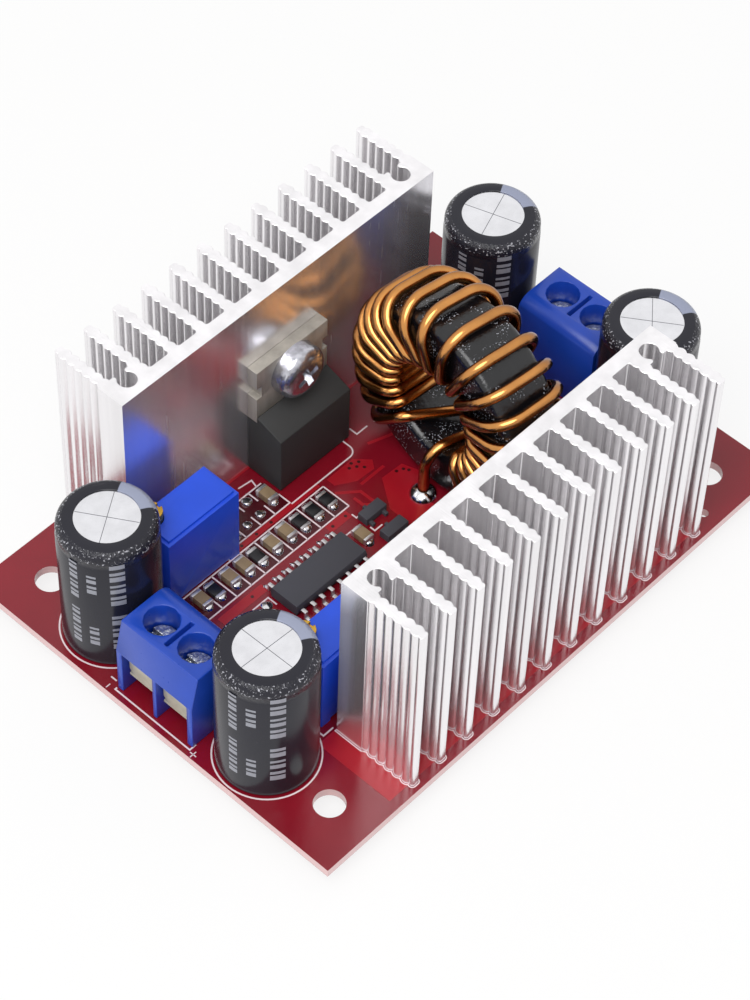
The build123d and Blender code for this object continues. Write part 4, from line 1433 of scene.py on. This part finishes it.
def sleeve_print(settings, number, centre):
    """Plain pale bars on the sleeve and plain dark ones down its stripe."""
    wall = (settings.radius - settings.print_height, settings.radius + settings.print_height)
    pale = bmesh.new()
    for turn, spread, start, end, bars in PRINTED_ROWS:
        pitch = (end - start) / bars
        for bar in range(bars):
            low = start + pitch * bar
            high = low + pitch * BAR_SHARES[bar % len(BAR_SHARES)]
            heights = (ON_TOP + low * MM, ON_TOP + high * MM)
            wrapped_bar(pale, centre, wall, math.radians(turn), math.radians(spread), *heights)
    dark = bmesh.new()
    for low, high in MINUS_BARS:
        heights = (ON_TOP + low * MM, ON_TOP + high * MM)
        wrapped_bar(dark, centre, wall, settings.stripe_turn, settings.stripe_spread * 0.25, *heights)
    for name, skin, finish_name in (("print", pale, "sleeve_ink"), ("minus", dark, "rubber")):
        label = f"sleeve_{name}_{number}"
        add_piece(label, mesh_from(skin, label), use(finish_name))


def can_mesh(settings, number, centre, top):
    """The can: a plain cup with a flat bare top."""
    skin = bmesh.new()
    radius = settings.radius - settings.skin * 1.15
    face = top - settings.recess
    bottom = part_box(f"capacitor_{number}_can")[0].z
    profile = [
        (0, bottom), (radius, bottom), (radius, face - 1.4 * MM), (settings.disc + 0.35 * MM, face),
        (0, face),
    ]
    lathe(skin, profile, centre, settings.sides)
    return mesh_from(skin, f"can_{number}")


def score_mesh(settings, number, centre, top):
    """The two scored lines that cross on the bare top, drawn as dark strips of painted shade."""
    skin = bmesh.new()
    face = top - settings.recess
    reach = settings.disc - settings.score_width
    for turn in SCORE_TURNS[number]:
        along = Vector((math.cos(math.radians(turn)), math.sin(math.radians(turn)))) * reach
        ends = [tuple(centre.xy - along), tuple(centre.xy + along)]
        ribbon(skin, ends, settings.score_width, face - settings.print_height, face + settings.print_height)
    return mesh_from(skin, f"can_scores_{number}")


class CONVERTER_OT_capacitors(bpy.types.Operator):
    """Make the four capacitors: scored can, shrink sleeve, bung and leads"""
    bl_idname = "converter.capacitors"
    bl_label = "Capacitors"

    def execute(self, context):
        settings = look().capacitor
        for number in range(1, 5):
            can_node = f"capacitor_{number}_can"
            sleeve_node = f"capacitor_{number}_sleeve"
            spot = middle(can_node)
            centre = Vector((spot.x, spot.y, 0))
            foot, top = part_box(sleeve_node)[0].z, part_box(sleeve_node)[1].z
            material = sleeve_finish(settings, number)
            skin = bmesh.new()
            lathe(skin, sleeve_profile(settings, foot, top), centre, settings.sides, closed=True)
            mesh = smooth_by_angle(mesh_from(skin, f"sleeve_{number}"), 50)
            add_piece(f"sleeve_{number}", mesh, material, nodes=(sleeve_node,))
            can = smooth_by_angle(can_mesh(settings, number, centre, top), 20)
            add_piece(f"can_{number}", can, use("can"), nodes=(can_node,))
            scores = score_mesh(settings, number, centre, top)
            add_piece(f"can_scores_{number}", scores, use("score_shade_line"))
            sleeve_print(settings, number, centre)
            paint_node(f"capacitor_{number}_bung", "rubber")
            paint_node(f"capacitor_{number}_leads", "tin")
        return {"FINISHED"}


class CONVERTER_OT_terminals(bpy.types.Operator):
    """Finish both screw terminals: housings, contacts, wire guards and clamp screws"""
    bl_idname = "converter.terminals"
    bl_label = "Terminals"

    def execute(self, context):
        settings = look().moulding
        for name in ("output", "input"):
            finished_copy(f"{name}_terminal_housing", use("terminal"), settings.edge)
            for way in (1, 2):
                finished_copy(f"{name}_{way}_contact", use("tin"), settings.fine_edge)
                finished_copy(f"{name}_{way}_guard", use("guard"), settings.fine_edge)
                finished_copy(f"{name}_{way}_screw", use("clamp_screw"), settings.fine_edge * 2)
        return {"FINISHED"}


class CONVERTER_OT_trimmers(bpy.types.Operator):
    """Finish both trimmers: cases, brass screws and pins"""
    bl_idname = "converter.trimmers"
    bl_label = "Trimmers"

    def execute(self, context):
        settings = look().moulding
        for name in ("front", "rear"):
            finished_copy(f"trimmer_{name}_case", use("trimmer"), settings.edge)
            finished_copy(f"trimmer_{name}_screw", use("brass"), settings.fine_edge)
            paint_node(f"trimmer_{name}_pins", "tin")
        return {"FINISHED"}


def cross_screw(settings, node, outward):
    """A pan-head screw with a cross recess, whose head points along Y."""
    low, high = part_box(node)
    head = (high.x - low.x) / 2
    length = high.y - low.y
    crown = settings.head_crown
    face = head * settings.head_face
    profile = [(0, 0)]
    for turn in range(90, -1, -10):
        angle = math.radians(turn)
        profile.append((face + (head - face) * math.cos(angle), crown * (math.sin(angle) - 1)))
    profile += [
        (head, -settings.head_height), (settings.shank, -settings.head_height),
        (settings.shank, settings.shank * 0.2 - length), (settings.shank * 0.8, -length), (0, -length),
    ]
    skin = bmesh.new()
    lathe(skin, profile, Vector(), 56)
    half = settings.recess_width / 2
    arm = settings.recess_reach
    cross = [
        (half, half), (arm, half), (arm, -half), (half, -half), (half, -arm), (-half, -arm),
        (-half, -half), (-arm, -half), (-arm, half), (-half, half), (-half, arm), (half, arm),
    ]
    cutter = bmesh.new()
    prism(cutter, cross, -settings.recess_depth, settings.recess_depth * 0.3, taper=0.55)
    bmesh.ops.rotate(cutter, matrix=Matrix.Rotation(settings.recess_turn, 3, "Z"), verts=cutter.verts)
    top = low.y if outward < 0 else high.y
    spot = middle(node)
    turn = Matrix.Translation((spot.x, top, spot.z)) @ Matrix.Rotation(-outward * math.pi / 2, 4, "X")
    for part in (skin, cutter):
        bmesh.ops.transform(part, matrix=turn, verts=part.verts)
    name = node + "_finished"
    mesh = cut_out(mesh_from(skin, name), name, mesh_from(cutter, name + "_recess"))
    add_piece(name, smooth_by_angle(mesh, 40), use("nickel"), nodes=(node,))


class CONVERTER_OT_devices(bpy.types.Operator):
    """Finish the two power devices with their tabs, leads and cross-recess screws"""
    bl_idname = "converter.devices"
    bl_label = "Power devices"

    def execute(self, context):
        settings = look().moulding
        for name, outward in (("transistor", -1), ("rectifier", 1)):
            finished_copy(f"{name}_body", use("black_moulding"), settings.edge)
            finished_copy(f"{name}_tab", use("tab"), settings.fine_edge)
            finished_copy(f"{name}_leads", use("tin"), settings.fine_edge)
            cross_screw(settings, f"{name}_screw", outward)
        return {"FINISHED"}


class CONVERTER_OT_chips(bpy.types.Operator):
    """Finish the controller, the chip parts and the small transistors"""
    bl_idname = "converter.chips"
    bl_label = "Chips"

    def execute(self, context):
        edge = look().moulding.fine_edge
        finished_copy("controller_body", use("grey_moulding"), edge)
        finished_copy("controller_leads", use("tin"), edge * 0.6)
        finished_copy("small_transistors", use("grey_moulding"), edge)
        finished_copy("chip_capacitors", use("ceramic"), edge)
        finished_copy("chip_resistors", use("film"), edge)
        finished_copy("chip_ends", use("tin"), edge)
        return {"FINISHED"}


def solder_below(cones):
    """A cone of solder round every clipped lead below, in the boxes of the CAD cones."""
    low, high = cones[0]
    reach = (high.x - low.x) / 2
    drop = high.z - low.z
    slope = (
        (0, 0), (1, 0), (0.95, 0.08), (0.72, 0.28), (0.52, 0.52), (0.4, 0.8), (0.33, 0.94), (0.2, 1),
        (0, 1),
    )
    skin = bmesh.new()
    lathe(skin, [(reach * out, -drop * down) for out, down in slope], Vector(), 20)
    part = smooth_by_angle(mesh_from(skin, "solder_cone"), 60)
    spots = [((low.x + high.x) / 2, (low.y + high.y) / 2, 0) for low, high in cones]
    mesh = scattered("solder_below", part, spots, use("solder"), unevenness=0.12)
    mesh.shade_smooth()
    return mesh


def solder_above(mounds):
    """A mound of solder round each end of the coil, in the boxes of the CAD mounds."""
    hole = look().coil.wire_radius * 0.9
    skin = bmesh.new()
    for low, high in mounds:
        reach = (high.x - low.x) / 2
        rise = high.z - ON_TOP
        slope = (
            (hole, 0), (reach, 0), (reach * 0.97, 0.2), (reach * 0.8, 0.6), (reach * 0.6, 0.86), (hole, 1),
        )
        centre = Vector(((low.x + high.x) / 2, (low.y + high.y) / 2, 0))
        lathe(skin, [(out, ON_TOP + rise * up) for out, up in slope], centre, 32, closed=True)
    return smooth_by_angle(mesh_from(skin, "solder_above"), 50)


class CONVERTER_OT_solder(bpy.types.Operator):
    """Put a solder cone on every clipped lead below and a mound round each end of the coil"""
    bl_idname = "converter.solder"
    bl_label = "Solder"

    def execute(self, context):
        boxes = solids_in("solder_joints")
        cones = [box for box in boxes if box[1].z < ON_TOP / 2]
        mounds = [box for box in boxes if box[1].z >= ON_TOP / 2]
        below = solder_below(cones)
        add_piece("solder_below", below, use("solder"), nodes=("solder_joints",))
        add_piece("solder_above", solder_above(mounds), use("solder"))
        return {"FINISHED"}


def seen_white(nodes, link):
    """1 for camera, glossy and transmission rays."""
    rays = nodes.new("ShaderNodeLightPath").outputs
    first = worked(nodes, link, "MAXIMUM", rays["Is Camera Ray"], rays["Is Glossy Ray"])
    return worked(nodes, link, "MAXIMUM", first, rays["Is Transmission Ray"])


def stage_finish(settings):
    """Pale floor that shows as white and still takes the object's shadow."""
    material = bpy.data.materials.new("pale_floor")
    material.use_nodes = True
    nodes = material.node_tree.nodes
    link = material.node_tree.links.new
    shader = nodes["Principled BSDF"]
    shader.inputs["Base Color"].default_value = settings.floor
    shader.inputs["Roughness"].default_value = 0.9
    shader.inputs["Specular IOR Level"].default_value = 0.0
    light = nodes.new("ShaderNodeEmission")
    light.inputs["Color"].default_value = (1, 1, 1, 1)
    light.inputs["Strength"].default_value = 1.0
    mix = nodes.new("ShaderNodeMixShader")
    link(worked(nodes, link, "MULTIPLY", seen_white(nodes, link), 0.82), mix.inputs["Fac"])
    link(shader.outputs["BSDF"], mix.inputs[1])
    link(light.outputs["Emission"], mix.inputs[2])
    link(mix.outputs["Shader"], nodes["Material Output"].inputs["Surface"])
    return material


def lay_floor(settings, scene):
    """A wide pale floor, just below the object."""
    half = 1.5
    ground = cad_box[0].z - 0.01 * MM
    corners = [(x * half, y * half, ground) for x, y in rectangle(-1, -1, 1, 1)]
    mesh = bpy.data.meshes.new("floor")
    mesh.from_pydata(corners, [], [(0, 1, 2, 3)])
    mesh.materials.append(stage_finish(settings))
    floor = bpy.data.objects.new("floor", mesh)
    scene.collection.objects.link(floor)


def light_room(settings, scene):
    """Soft light from all round, and one large lamp for the shadows."""
    world = bpy.data.worlds.new("soft_room")
    scene.world = world
    world.use_nodes = True
    nodes = world.node_tree.nodes
    link = world.node_tree.links.new
    background = nodes["Background"]
    background.inputs["Color"].default_value = (1, 1, 1, 1)
    strength = threshold(nodes, link, seen_white(nodes, link), 0.0, 1.0, settings.sky)
    link(strength, background.inputs["Strength"])
    lamp = bpy.data.lights.new("soft_lamp", "AREA")
    lamp.shape = "DISK"
    lamp.size = settings.lamp_width
    lamp.energy = settings.lamp
    holder = bpy.data.objects.new("soft_lamp", lamp)
    holder.location = settings.lamp_place
    holder.rotation_mode = "QUATERNION"
    holder.rotation_quaternion = (-holder.location).to_track_quat("-Z", "Y")
    scene.collection.objects.link(holder)


def set_camera(settings, scene):
    """The photograph's own view."""
    side = settings.azimuth
    rise = settings.elevation
    back = Vector((math.sin(side) * math.cos(rise), -math.cos(side) * math.cos(rise), math.sin(rise)))
    right = Vector((math.cos(side), math.sin(side), 0))
    up = back.cross(right)
    tilt = Matrix.Rotation(settings.roll, 3, back)
    turn = Matrix((tilt @ right, tilt @ up, back)).transposed()
    data = bpy.data.cameras.new("camera")
    data.lens = settings.lens
    data.sensor_width = 36.0
    data.sensor_fit = "AUTO"
    data.clip_start = 0.01
    camera = bpy.data.objects.new("camera", data)
    eye = Vector(settings.target) + back * settings.distance
    camera.matrix_world = Matrix.Translation(eye) @ turn.to_4x4()
    scene.collection.objects.link(camera)
    scene.camera = camera


class CONVERTER_OT_stage(bpy.types.Operator):
    """Set the floor, the soft light and the photograph's camera"""
    bl_idname = "converter.stage"
    bl_label = "Stage"

    def execute(self, context):
        settings = look().stage
        context.scene.view_settings.view_transform = "Standard"
        lay_floor(settings, context.scene)
        light_room(settings, context.scene)
        set_camera(settings, context.scene)
        return {"FINISHED"}


STEPS = (
    CONVERTER_OT_finishes, CONVERTER_OT_board, CONVERTER_OT_heatsinks, CONVERTER_OT_coil,
    CONVERTER_OT_capacitors, CONVERTER_OT_terminals, CONVERTER_OT_trimmers, CONVERTER_OT_devices,
    CONVERTER_OT_chips, CONVERTER_OT_solder, CONVERTER_OT_stage,
)


class CONVERTER_PT_panel(bpy.types.Panel):
    """The making of the module, step by step"""
    bl_label = "Boost converter"
    bl_idname = "CONVERTER_PT_panel"
    bl_space_type = "VIEW_3D"
    bl_region_type = "UI"
    bl_category = "Converter"

    def draw(self, context):
        for step in STEPS:
            self.layout.operator(step.bl_idname)


GROUPS = (BoardLook, HeatsinkLook, CoilLook, CapacitorLook, MouldingLook, StageLook, ConverterLook)
CLASSES = GROUPS + STEPS + (CONVERTER_PT_panel,)


def register():
    """Register the settings, the operators and the panel."""
    for kind in CLASSES:
        bpy.utils.register_class(kind)
    bpy.types.Scene.converter_look = bpy.props.PointerProperty(type=ConverterLook)


def unregister():
    """Take them out again, last first."""
    del bpy.types.Scene.converter_look
    for kind in reversed(CLASSES):
        bpy.utils.unregister_class(kind)


def main():
    """Make every piece in order."""
    register()
    for step in STEPS:
        family, name = step.bl_idname.split(".")
        getattr(getattr(bpy.ops, family), name)()


if __name__ == "__main__":
    main()
